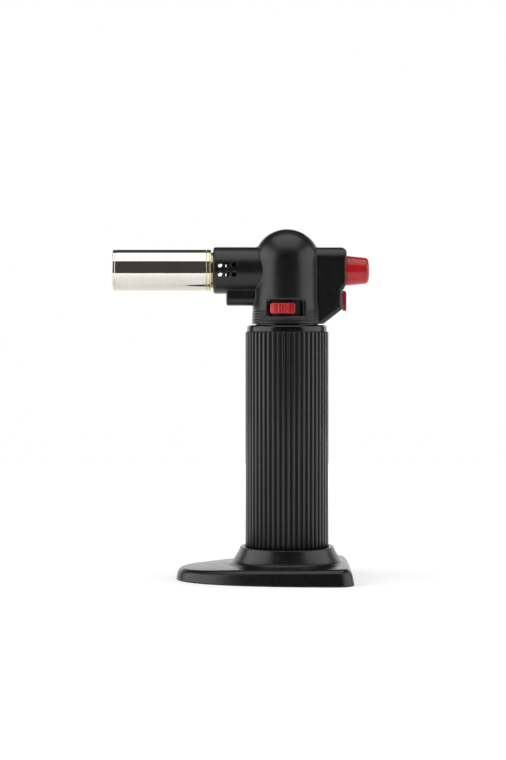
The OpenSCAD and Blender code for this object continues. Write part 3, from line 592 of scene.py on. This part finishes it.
def head_outside(p, shape):
    """The head's outer form: column and dome, barrel, keel and rear housing."""
    x, y, z = p.T
    middle = -30
    dome = np.sqrt(x * x + y * y + (z - DOME_Z) ** 2)
    column = np.where(z > DOME_Z, dome, np.hypot(x, y)) - column_r(z)
    barrel = np.hypot(y, z - BURNER_Z) - BARREL_R
    barrel = clip(barrel, np.maximum(BARREL_X - x, x), shape.barrel_edge / MM)
    keel = rect(y, z, -KEEL_HALF, KEEL_HALF, KEEL_LOW, BURNER_Z, KEEL_ROUND)
    keel = clip(keel, np.maximum(KEEL_X - x, x), KEEL_EDGE)
    rear = rect(y, z, -REAR_HALF, REAR_HALF, REAR_LOW, REAR_TOP, shape.rear_crown / MM)
    rear = np.maximum(rear, rect(x, y, middle, REAR_X, -REAR_HALF, REAR_HALF, shape.rear_edge / MM))
    rear = np.maximum(rear, rect(x, z, middle, REAR_X, REAR_LOW, REAR_TOP, shape.rear_corner / MM))
    under = [(middle, 230), (60, 230), (60, 187), (UNDERCUT_X, FOOT_Z + 18), (UNDERCUT_X, FOOT_Z + 8.1)]
    under += [(REAR_X - 22.2, UNDERCUT_LOW), (middle, UNDERCUT_LOW)]
    rear = np.maximum(clip(rear, outline(x, z, under), UNDERCUT_ROUND), -x)
    form = join(barrel, keel, 0.15)
    form = join(form, column, shape.junction / MM)
    return join(form, rear, 0.25)


def head_half(p, shape, side):
    """One head shell with its hollow, its openings and the details of its side."""
    x, y, z = p.T
    outside = head_outside(p, shape)
    r = np.hypot(x, y)
    form = clip(outside, FOOT_Z - z, 0.3)
    level = (z - FOOT_Z - GROOVE_Z0) / GROOVE_PITCH
    rise = (level - np.round(np.clip(level, 0, GROOVES - 1))) * GROOVE_PITCH
    groove = np.hypot(rise, np.minimum(0, r - column_r(z))) - shape.groove / MM
    form = carve(form, np.maximum(groove, x - GROOVE_END_X), 0.08)
    form = carve(form, np.hypot(y, outside) - shape.seam / MM, 0.05)
    hollow = np.maximum(outside + HEAD_WALL, FOOT_Z + HEAD_WALL - z)
    hollow = np.minimum(hollow, np.maximum(r - CLAMP_R, z - FOOT_Z - CLAMP_H))
    hollow = np.minimum(hollow, np.maximum(np.hypot(y, z - BURNER_Z) - BARREL_BORE, x + 20))
    button = np.hypot(y, z - BUTTON_Z) - BUTTON_BORE
    hollow = np.minimum(hollow, np.maximum(button, BUTTON_LOW[0] - BUTTON_ROOM - x))
    lock = np.maximum(rect(y, z, -2.3, 2.3, FOOT_Z + 9.5, FOOT_Z + 16.6, 0.5), 24 - x)
    form = carve(form, np.minimum(hollow, lock), 0.2)
    for i in range(3):
        for row in (-0.5, 0.5):
            hole = np.hypot(x - AIR_X - i * AIR_PITCH, z - BURNER_Z - AIR_RISE - row * AIR_GAP) - AIR_R
            form = carve(form, hole, 0.2)
    if side < 0:
        along = HEAD_R * np.arctan2(x, -y)
        a0, a1 = (math.radians(a) * HEAD_R for a in (SLOT_A0, SLOT_A1))
        mouth = rect(along, z, a0, a1, SLOT_Z0, SLOT_Z0 + SLOT_H, 0.5)
        slot = np.maximum(mouth, HEAD_R - SLOT_DEPTH - r)
        depth, bevel = column_r(z) - r, shape.slot_bevel / MM
        flare = (mouth + depth * BEVEL_SLOPE - bevel) * 0.66
        flare = np.maximum(flare, np.maximum(depth - BEVEL_DEPTH, mouth - bevel))
        return carve(form, np.minimum(slot, flare), 0.12)
    for sx, sz in SCREWS:
        away = np.hypot(x - sx, z - sz)
        post = np.maximum(away - POST_R, np.abs(y - POST_Y / 2) - POST_Y / 2)
        form = np.minimum(form, np.maximum(post, outside))
        form = carve(form, np.maximum(away - SEAT_R, SEAT_Y - y), 0.2)
        form = carve(form, away - SCREW_R, 0.1)
    return form


class TORCH_OT_head(Piece, bpy.types.Operator):
    """Moulds the two head shells"""

    bl_idname = "torch.head"
    bl_label = "Head shells"

    def build(self, shape, colours):
        finish = moulded_plastic("satin_black_plastic", colours.black, 0.34, 0.006)
        s = shape.fineness
        for side, node in ((-1, "head_left"), (1, "head_right")):
            wide = sorted((side * (HEAD_R + 1.2), -side * 0.8))
            holes = (AIR_X - 2, AIR_X + 2 * AIR_PITCH + 2, 0.35)
            seam = (-0.6, 0.6, 0.15)
            grooves = (FOOT_Z - 0.6, FOOT_Z + 8.4, 0.2)
            axes = [
                steps(BARREL_X - 1, REAR_X + 1, s, [holes]),
                steps(wide[0], wide[1], s, [seam]),
                steps(FOOT_Z - 1, DOME_Z + HEAD_R + 1, s, [grooves]),
            ]
            shell = moulding(node + "_shell", lambda p: head_half(p, shape, side), axes)
            cut_flat(shell, side * SHELL_GAP, side)
            placed(shell, "torch", "satin_black", finish, node)


# ---------- the stand ----------

STAND_CORNER = 9.0
BLUNTNESS = 2.3
EDGE_H, EDGE_RISE, EDGE_X, EDGE_RUN = 7.35, 1.2, -35, 20
CROWN, CROWN_START = 0.8, 0.3
SIDE_LEAN, EDGE_ROUND, JOIN_ROUND = 0.2, 2.8, 0.8
COLLAR_IN, COLLAR_LOW, COLLAR_FOOT = 18, 5, 32.4
COLLAR_WALL = 2.75
COLLAR_FLARE = [(COLLAR_FOOT, 8.4), (30.2, 9.5), (29.0, 10.8), (27.7, 12.9), (26.3, 15.4), (25.45, 17.4)]
SOCKET_GAP = 0.35
PLATE_IN, HOLLOW_IN, HOLLOW_TOP, HOLLOW_LEAN = 2.6, 4.4, 6, 0.022
FILL_R, FILL_TOP, FILL_WALL = 9, 14, 11


def stand_plan():
    """Plan outline of the stand: a blunt elliptical front and a rounded, straight back."""
    corner_r = STAND_CORNER
    back, half = STAND_HIGH[0], STAND_HIGH[1]
    cx = back - corner_r
    a = cx - STAND_LOW[0]
    k = 2 / BLUNTNESS
    points = []
    for t in np.radians(np.linspace(90, 270, 61)):
        across = math.copysign(half * abs(math.sin(t)) ** k, math.sin(t))
        points.append((cx - a * abs(math.cos(t)) ** k, across))
    for start, cy in ((270, corner_r - half), (0, half - corner_r)):
        for t in np.radians(np.linspace(start, start + 90, 13)):
            points.append((cx + corner_r * math.cos(t), cy + corner_r * math.sin(t)))
    return [p for i, p in enumerate(points) if math.dist(p, points[i - 1]) > 1e-3]


def smooth_line(knots, count):
    """Points on a smooth curve through knots."""
    k = np.array(knots, float)
    out = []
    for i in range(len(k) - 1):
        p0, p1, p2, p3 = k[max(i - 1, 0)], k[i], k[i + 1], k[min(i + 2, len(k) - 1)]
        for t in np.linspace(0, 1, count, endpoint=False):
            square = 2 * p0 - 5 * p1 + 4 * p2 - p3
            cube = 3 * p1 - p0 - 3 * p2 + p3
            out.append(tuple(0.5 * (2 * p1 + (p2 - p0) * t + square * t * t + cube * t**3)))
    return out + [tuple(k[-1])]


def stand_field(p, plan):
    """The stand: a crowned slab with sloping sides and a flared collar around the socket."""
    x, y, z = p.T
    inset = -outline(x, y, plan)
    back, top_z = STAND_HIGH[0] - STAND_CORNER, STAND_HIGH[2]
    edge = EDGE_H + EDGE_RISE * np.tanh((x - EDGE_X) / EDGE_RUN)
    along = np.where(x < back, (x - back) / (back - STAND_LOW[0]), ((x - back) / STAND_CORNER) ** 2)
    fall = np.clip((along**2 + (y / STAND_HIGH[1]) ** 2 - CROWN_START) / (1 - CROWN_START), 0, 1)
    top = edge + CROWN * (1 - fall**2)
    slab = clip(SIDE_LEAN * z - inset, z - top, EDGE_ROUND)
    bore = np.hypot(x, y)
    lip = GRIP_R + COLLAR_WALL
    spread = np.maximum(bore - lip, 0) * 0.4 * (y / np.maximum(bore, 1)) ** 2
    collar = [(COLLAR_IN, COLLAR_LOW), (COLLAR_FOOT, COLLAR_LOW)] + smooth_line(COLLAR_FLARE, 5)
    collar = outline(bore + spread, z, collar + [(lip, top_z), (COLLAR_IN, top_z)])
    form = join(slab, collar, JOIN_ROUND)
    form = clip(form, z - top_z, 0.5)
    form = clip(form, -z, 0.35)
    socket = np.maximum(bore - GRIP_R - SOCKET_GAP, GRIP_LOW[2] - z)
    form = carve(form, socket, 0.5)
    below = np.maximum(PLATE_IN - inset, z - PLATE_HIGH[2])
    below = np.minimum(below, np.maximum(bore - FILL_R, z - FILL_TOP))
    hollow = np.maximum(z - HOLLOW_TOP - HOLLOW_LEAN * x, FILL_WALL - bore)
    below = np.minimum(below, np.maximum(HOLLOW_IN - inset, hollow))
    return np.maximum(form, -below)


class TORCH_OT_stand(Piece, bpy.types.Operator):
    """Moulds the stand with its collar"""

    bl_idname = "torch.stand"
    bl_label = "Stand"

    def build(self, shape, colours):
        plan = stand_plan()
        s = shape.fineness * 1.3
        axes = [
            steps(STAND_LOW[0] - 1, STAND_HIGH[0] + 1, s),
            steps(STAND_LOW[1] - 1, STAND_HIGH[1] + 1, s),
            steps(-1, STAND_HIGH[2] + 1, s * 0.8),
        ]
        stand = moulding("stand_moulding", lambda p: stand_field(p, plan), axes)
        finish = moulded_plastic("stand_plastic", colours.base, 0.30, 0.007)
        placed(stand, "torch", "matte_black", finish, "stand")


# ---------- the grip ----------

RIB_H, RIB_PHASE, SLEEVE_WALL = 0.7, 0.19, 2.0
NECK_BORE, SHOULDER_STEP_R, SHOULDER_STEP_H = 12.05, 17.2, 0.6


class TORCH_OT_grip(Piece, bpy.types.Operator):
    """Extrudes the ribbed sleeve and turns the shoulder above it"""

    bl_idname = "torch.grip"
    bl_label = "Grip and shoulder"

    ribs: bpy.props.IntProperty(
        name="Ribs", description="Number of ribs around the grip", default=50, min=30, max=64
    )

    def build(self, shape, colours):
        edge, depth, inner = shape.rib_edge, RIB_H, GRIP_R - RIB_H - SLEEVE_WALL
        low, high = GRIP_LOW[2], GRIP_HIGH[2]
        knots = [(-0.5, 0), (-0.25 - edge, 0.02), (-0.25 - edge * 0.55, 0.12), (-0.25, 0.52)]
        knots += [(-0.25 + edge * 0.5, 0.88), (-0.25 + edge, 0.98)]
        knots += [(-0.09, 1.0), (0.0, 1.0), (0.09, 1.0)] + [(-u, v) for u, v in knots[:0:-1]]
        levels = [(low, -0.3, 0), (low + 0.3, 0, 0), (high - 0.9, 0, 0), (high - 0.5, 0, 0.1)]
        levels += [(high - 0.2, 0, 0.35), (high, -0.05, 0.7)]
        points, faces = [], []
        step = 2 * math.pi / self.ribs
        per = self.ribs * len(knots)
        for z, grow, drop in levels:
            for i in range(self.ribs):
                for u, v in knots:
                    a = -math.pi / 2 + step * (i + RIB_PHASE + u)
                    r = GRIP_R - depth + grow + max(0.0, depth * v - drop)
                    points.append((r * math.cos(a), r * math.sin(a), z))
        for z in (high, low):
            for k in range(per):
                a = -math.pi / 2 + step * (k // len(knots) + RIB_PHASE + knots[k % len(knots)][0])
                points.append((inner * math.cos(a), inner * math.sin(a), z))
        rings = len(levels) + 2
        for i in range(rings):
            j = (i + 1) % rings
            for k in range(per):
                m = (k + 1) % per
                faces.append((i * per + k, i * per + m, j * per + m, j * per + k))
        sleeve = mesh_object("grip_ribs", points, faces, 50)
        # the ribs get painted shade in their valleys and a rubbed coat on their tops
        rubbed = {"specular": 0.3, "painted_valley_shade": (GRIP_R - depth + 0.05, GRIP_R - 0.1)}
        finish = moulded_plastic("ribbed_black_plastic", colours.ribbed, 0.42, 0.008, **rubbed)
        placed(sleeve, "torch", "ribbed_black", finish, "grip_sleeve")
        low, top, r = RING_S_LOW[2], RING_S_HIGH[2], RING_S_HIGH[1]
        bore, step_r, shoulder_top = NECK_BORE, SHOULDER_STEP_R, top - SHOULDER_STEP_H
        profile = eased(
            [(bore, low), (r, low), (r, shoulder_top), (step_r, shoulder_top), (step_r, top), (bore, top)],
            [0, 0.2, 3.1, 0.3, 0.1, 0],
            count=12,
        )
        ring = turned("shoulder_turned", profile)
        gloss = moulded_plastic("shoulder_plastic", colours.black, 0.2, 0.003)
        placed(ring, "torch", "satin_black", gloss, "shoulder_ring")


# ---------- the burner ----------

TUBE_WALL, RING_BORE = 0.55, 9.95
NECK_R, THROAT_R = 9.9, 3.5


class TORCH_OT_burner(Piece, bpy.types.Operator):
    """Turns the flame tube, its ring and the burner base"""

    bl_idname = "torch.burner"
    bl_label = "Flame tube and ring"

    def build(self, shape, colours):
        centre = (0, 0, BURNER_Z)
        back, front = TUBE_HIGH[0] - 0.12, TUBE_LOW[0]
        inside, rolled = TUBE_R - TUBE_WALL, TUBE_R - 1.7
        outer = [(TUBE_R, back), (TUBE_R, front + 1.75), (TUBE_R - 0.16, front + 1.55)]
        outer += [(TUBE_R, front + 1.35), (TUBE_R, front)]
        inner = [(rolled, front), (rolled, front + 0.7), (inside, front + 1.6), (inside, back)]
        profile = eased(outer + inner, [0.08, 0.1, 0.05, 0.1, 0.7, 0.5, 0.15, 0.3, 0.05], count=10)
        tube = turned("flame_tube_polished", profile, "x", centre)
        steel = drawn_metal("polished_tube_steel", colours.steel, 0.07, 0.0006)
        placed(tube, "torch", "polished_steel", steel, "flame_tube")
        zinc = drawn_metal("yellow_zinc", colours.zinc, 0.12, 0.0012, tint=colours.zinc_tint)
        x0, x1 = RING_LOW[0] + 0.06, RING_HIGH[0] + 0.35
        rim = TUBE_R + 0.1
        profile = [(RING_BORE, x0), (rim, x0), (rim, x0 + 1.5), (rim - 0.3, x0 + 1.75)]
        profile += [(rim, x0 + 2.0), (rim, x1), (RING_BORE, x1)]
        profile = eased(profile, [0, 0.25, 0.2, 0.1, 0.2, 0.7, 0.2])
        ring = turned("tube_ring_turned", profile, "x", centre)
        placed(ring, "torch", "yellow_passivate", zinc, "tube_ring")
        hidden, lip = NECK_LOW[0], BARREL_X + 1.35
        profile = [(THROAT_R, hidden + 9), (9.6, hidden + 2), (9.6, hidden)]
        profile += [(inside - 0.05, hidden), (inside - 0.05, x0 - 0.2)]
        profile += [(NECK_R, x0 - 0.1), (NECK_R, x1 + 0.2), (NECK_R - 0.35, x1 + 0.4), (NECK_R, x1 + 0.6)]
        profile += [(NECK_R, BARREL_X - 0.25), (9.7, BARREL_X - 0.06), (8.9, BARREL_X - 0.05), (8.9, lip)]
        profile += [(NECK_R, lip), (NECK_R, lip + 0.9), (THROAT_R, lip + 0.9)]
        neck = turned("burner_neck", profile, "x", centre)
        gold = drawn_metal("gold_zinc", colours.neck, 0.16, 0.0015, tint=colours.zinc)
        placed(neck, "torch", "yellow_passivate", gold, "burner_base")


# ---------- the controls ----------


THUMB_A0, THUMB_A1 = -31.6, 14.0
THUMB_IN, THUMB_OUT = HEAD_R - HEAD_WALL - 0.25, HEAD_R + 0.4
RIDGES, RIDGE_PITCH, RIDGE_R, RIDGE_SHIFT = 4, 1.4, 0.45, 0.6
PEG_R, PEG_LEN, PEG_RISE = 0.8, 2.6, 3.4


def thumb_field(p):
    """The thumb piece: a curved plate with rounded corners, four upright ridges and its peg."""
    x, y, z = p.T
    r = np.hypot(x, y)
    along = HEAD_R * np.arctan2(x, -y)
    a0, a1 = (math.radians(a) * HEAD_R for a in (THUMB_A0, THUMB_A1))
    plate = rect(along, z, a0 + 0.35, a1 - 0.35, THUMB_LOW[2] + 0.25, THUMB_HIGH[2] - 0.25, 1.1)
    form = clip(plate, r - THUMB_OUT, 0.5)
    for i in range(RIDGES):
        place = (a0 + a1) / 2 + RIDGE_SHIFT + (i - (RIDGES - 1) / 2) * RIDGE_PITCH
        ridge = np.hypot(along - place, r - THUMB_OUT) - RIDGE_R
        form = join(form, clip(plate + 0.3, ridge, 0.2), 0.12)
    turn = math.radians((THUMB_A0 + THUMB_A1) / 2)
    across, out = x * math.cos(turn) + y * math.sin(turn), x * math.sin(turn) - y * math.cos(turn)
    peg = np.hypot(across, z - THUMB_LOW[2] - PEG_RISE) - PEG_R
    peg = np.maximum(peg, np.maximum(THUMB_IN - PEG_LEN - out, out - THUMB_IN - 0.5))
    return np.minimum(np.maximum(form, THUMB_IN - r), peg)


class TORCH_OT_controls(Piece, bpy.types.Operator):
    """Makes the red ignition button and finishes the lock and the flow lever"""

    bl_idname = "torch.controls"
    bl_label = "Button, lock and lever"

    def build(self, shape, colours):
        red = moulded_plastic("control_red_plastic", colours.red, 0.25, 0.0015, wear=0.25)
        skirt, end = BUTTON_LOW[0], BUTTON_HIGH[0]
        hub, floor_in, wall_in = skirt + 9, end - 3, 6.3
        outer = [(8.1, skirt), (8.1, REAR_X + 0.8), (6.95, end - 0.7), (3.8, end - 0.12), (0, end)]
        inner = [(0, end - 2), (3.05, end - 2), (3.05, hub), (4.6, hub), (4.6, floor_in)]
        inner += [(wall_in, floor_in), (wall_in, skirt)]
        profile = eased(outer + inner, [0.2, 0.5, 2.2, 3.0, 0] + [0] * len(inner), count=8)
        button = turned("ignition_button_turned", profile, "x", (0, 0, BUTTON_Z), 128)
        placed(button, "ignition", "red_gloss", red, "ignition_button")
        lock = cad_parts["flame_lock"]
        softened(lock, 0.35)
        lock.data.materials.clear()
        lock.data.materials.append(red)
        reach, grid = HEAD_R + 1.2, 0.22
        axes = [
            steps(-reach * 0.6, reach * 0.4, grid),
            steps(-reach, -12, grid),
            steps(THUMB_LOW[2] - 0.5, THUMB_HIGH[2] + 0.5, grid),
        ]
        thumb = moulding("flow_thumb_moulded", thumb_field, axes)
        placed(thumb, "flow_control", "red_gloss", red, "flow_thumb")


def softened(made, width, angle=32):
    """Rounds a frame piece's edges with modifiers."""
    weld = made.modifiers.new("weld", "WELD")
    weld.merge_threshold = 1e-6
    bevel = made.modifiers.new("edges", "BEVEL")
    bevel.width, bevel.segments = width * MM, 2
    bevel.limit_method, bevel.angle_limit = "ANGLE", math.radians(angle)
    bevel.use_clamp_overlap = True
    made.modifiers.new("normals", "WEIGHTED_NORMAL").keep_sharp = True


# ---------- the pieces that stay as the frame has them ----------


class TORCH_OT_fittings(Piece, bpy.types.Operator):
    """Gives the inner pieces and the underside their finishes"""

    bl_idname = "torch.fittings"
    bl_label = "Inner pieces and underside"

    def build(self, shape, colours):
        plastics = {
            "underside_plastic": (colours.base, 0.5, 0.012, ["base_plate"]),
            "tank_plastic": ((0.62, 0.66, 0.63, 1), 0.3, 0.004, ["fuel_tank", "pickup_tube"]),
            "cap_plastic": ((0.02, 0.02, 0.022, 1), 0.45, 0.006, ["tank_cap", "piezo_body"]),
            "lever_plastic": ((0.003, 0.003, 0.0032, 1), 0.6, 0.006, ["flow_lever"]),
            "white_plastic": ((0.75, 0.74, 0.68, 1), 0.38, 0.004, ["release_slide", "piezo_plunger"]),
        }
        springs = ["button_spring", "filler_spring", "valve_pin", "filler_stem"]
        metals = {
            "turned_brass": (colours.brass, 0.24, 0.002, "z", ["valve_body", "flow_collar", "filler_body"]),
            "jet_brass": (shade(colours.brass, 0.8), 0.3, 0.002, "x", ["jet_holder", "gas_jet"]),
            "gas_copper": (colours.copper, 0.3, 0.001, "x", ["gas_tube"]),
            "burner_steel": ((0.42, 0.39, 0.36, 1), 0.38, 0.003, "x", ["flame_holder", "electrode"]),
            "screw_steel": ((0.22, 0.22, 0.23, 1), 0.32, 0.003, "y", ["base_screws", "housing_screws"]),
            "spring_steel": ((0.55, 0.54, 0.52, 1), 0.3, 0.001, "x", springs),
        }
        solids = {
            "pad_rubber": ((0.02, 0.02, 0.02, 1), 0.8, ["base_pads", "tank_seal", "filler_seal"]),
            "lead_sheath": ((0.45, 0.02, 0.02, 1), 0.55, ["ignition_lead"]),
            "ceramic_white": ((0.82, 0.79, 0.72, 1), 0.45, ["ceramic_sleeve"]),
        }
        for make, finishes in ((moulded_plastic, plastics), (drawn_metal, metals), (soft_solid, solids)):
            for name, (*look, nodes) in finishes.items():
                extra = {"specular": 0.25} if name == "lever_plastic" else {}
                finish = make(name, *look, **extra)
                for node in nodes:
                    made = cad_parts[node]
                    made.data.materials.clear()
                    made.data.materials.append(finish)


# ---------- the stage ----------


class TORCH_OT_stage(Piece, bpy.types.Operator):
    """Sets up the floor, the lights and the camera"""

    bl_idname = "torch.stage"
    bl_label = "Floor, lights and camera"

    def build(self, shape, colours):
        scene = bpy.context.scene
        scene.view_settings.view_transform = "Standard"
        scene.view_settings.look = "None"
        corners = [(-620, -560, 0), (620, -560, 0), (620, 900, 0), (-620, 900, 0)]
        floor = mesh_object("floor", corners, [(0, 1, 2, 3)])
        paper = Finish("white_paper", Roughness=0.9, Specular_IOR_Level=0.1, Emission_Strength=1.0)
        grain = paper.noise(900, 3)
        away = paper.add("ShaderNodeVectorMath", {"operation": "LENGTH"}, {0: paper.place()}, out=1)
        glow = paper.blend(paper.spread(away, 0.15, 0.6), (0.4, 0.4, 0.4, 1), (0.95, 0.95, 0.95, 1))
        sheet = paper.blend(grain, (0.72, 0.72, 0.72, 1), (0.78, 0.78, 0.78, 1))
        paper.drive(Base_Color=sheet, Emission_Color=glow)
        floor.data.materials.append(paper.material)
        corners = [(-1500, 1400, 0), (1500, 1400, 0), (1500, 1400, 700), (-1500, 1400, 700)]
        wall = mesh_object("back_wall", corners, [(0, 1, 2, 3)])
        card = Finish("white_card", Roughness=0.9, Emission_Strength=1.0)
        card.shader.inputs["Emission Color"].default_value = (1, 1, 1, 1)
        card.drive(Base_Color=card.blend(card.noise(4, 2), (0.7, 0.7, 0.7, 1), (0.75, 0.75, 0.75, 1)))
        wall.data.materials.append(card.material)
        wall.visible_camera = False
        lights = {
            "overhead": ((0, -0.23, 1.25), (0, -0.23, 0), 1.4, 1.3, 9.5),
            "left": ((-1.34, -0.25, 0.5), (0, 0, 0.2), 1.9, 1.3, 18),
            "right": ((1.34, -0.25, 0.5), (0, 0, 0.2), 1.9, 1.3, 14),
        }
        for name, (at, aim, width, height, power) in lights.items():
            data = bpy.data.lights.new(name, "AREA")
            data.shape, data.size, data.size_y, data.energy = "RECTANGLE", width, height, power
            lamp = bpy.data.objects.new(name, data)
            lamp.location = at
            lamp.rotation_euler = (Vector(aim) - Vector(at)).to_track_quat("-Z", "Y").to_euler()
            lamp.visible_camera = False
            scene.collection.objects.link(lamp)
        world = bpy.data.worlds.new("studio")
        scene.world = world
        world.use_nodes = True
        tree = world.node_tree
        tree.nodes.clear()
        seen = tree.nodes.new("ShaderNodeBackground")
        seen.inputs[0].default_value, seen.inputs[1].default_value = (1, 1, 1, 1), 1.0
        room = tree.nodes.new("ShaderNodeBackground")
        room.inputs[0].default_value, room.inputs[1].default_value = (1, 0.97, 0.93, 1), 0.07
        path = tree.nodes.new("ShaderNodeLightPath")
        mix = tree.nodes.new("ShaderNodeMixShader")
        end = tree.nodes.new("ShaderNodeOutputWorld")
        tree.links.new(path.outputs["Is Camera Ray"], mix.inputs[0])
        tree.links.new(room.outputs[0], mix.inputs[1])
        tree.links.new(seen.outputs[0], mix.inputs[2])
        tree.links.new(mix.outputs[0], end.inputs[0])
        camera = bpy.data.cameras.new("camera")
        camera.sensor_width = 36
        camera.lens = 93.9
        camera.shift_y = -0.0724
        camera.clip_start, camera.clip_end = 0.05, 20
        eye = bpy.data.objects.new("camera", camera)
        eye.location = (-0.0185, -1.08, 0.1381)
        eye.rotation_euler = (math.pi / 2, 0, 0)
        scene.collection.objects.link(eye)
        scene.camera = eye


class TORCH_PT_panel(bpy.types.Panel):
    """Lists the torch's builders and their settings"""

    bl_label = "Torch"
    bl_idname = "TORCH_PT_panel"
    bl_space_type = "VIEW_3D"
    bl_region_type = "UI"
    bl_category = "Torch"

    def draw(self, context):
        """Draws the buttons and the settings."""
        for name in STEPS:
            self.layout.operator("torch." + name)
        for group in (context.scene.torch_shape, context.scene.torch_colours):
            for key in type(group).__annotations__:
                self.layout.prop(group, key)


CLASSES = (
    TorchShape,
    TorchColours,
    TORCH_OT_stage,
    TORCH_OT_stand,
    TORCH_OT_grip,
    TORCH_OT_head,
    TORCH_OT_burner,
    TORCH_OT_controls,
    TORCH_OT_fittings,
    TORCH_PT_panel,
)
STEPS = ("stage", "stand", "grip", "head", "burner", "controls", "fittings")


def register():
    """Registers the classes and hangs the settings on the scene."""
    for each in CLASSES:
        bpy.utils.register_class(each)
    bpy.types.Scene.torch_shape = bpy.props.PointerProperty(type=TorchShape)
    bpy.types.Scene.torch_colours = bpy.props.PointerProperty(type=TorchColours)


def unregister():
    """Takes the settings and the classes away again."""
    del bpy.types.Scene.torch_colours
    del bpy.types.Scene.torch_shape
    for each in reversed(CLASSES):
        bpy.utils.unregister_class(each)


def main():
    """Builds every piece in order."""
    register()
    for name in STEPS:
        getattr(bpy.ops.torch, name)()


if __name__ == "__main__":
    main()
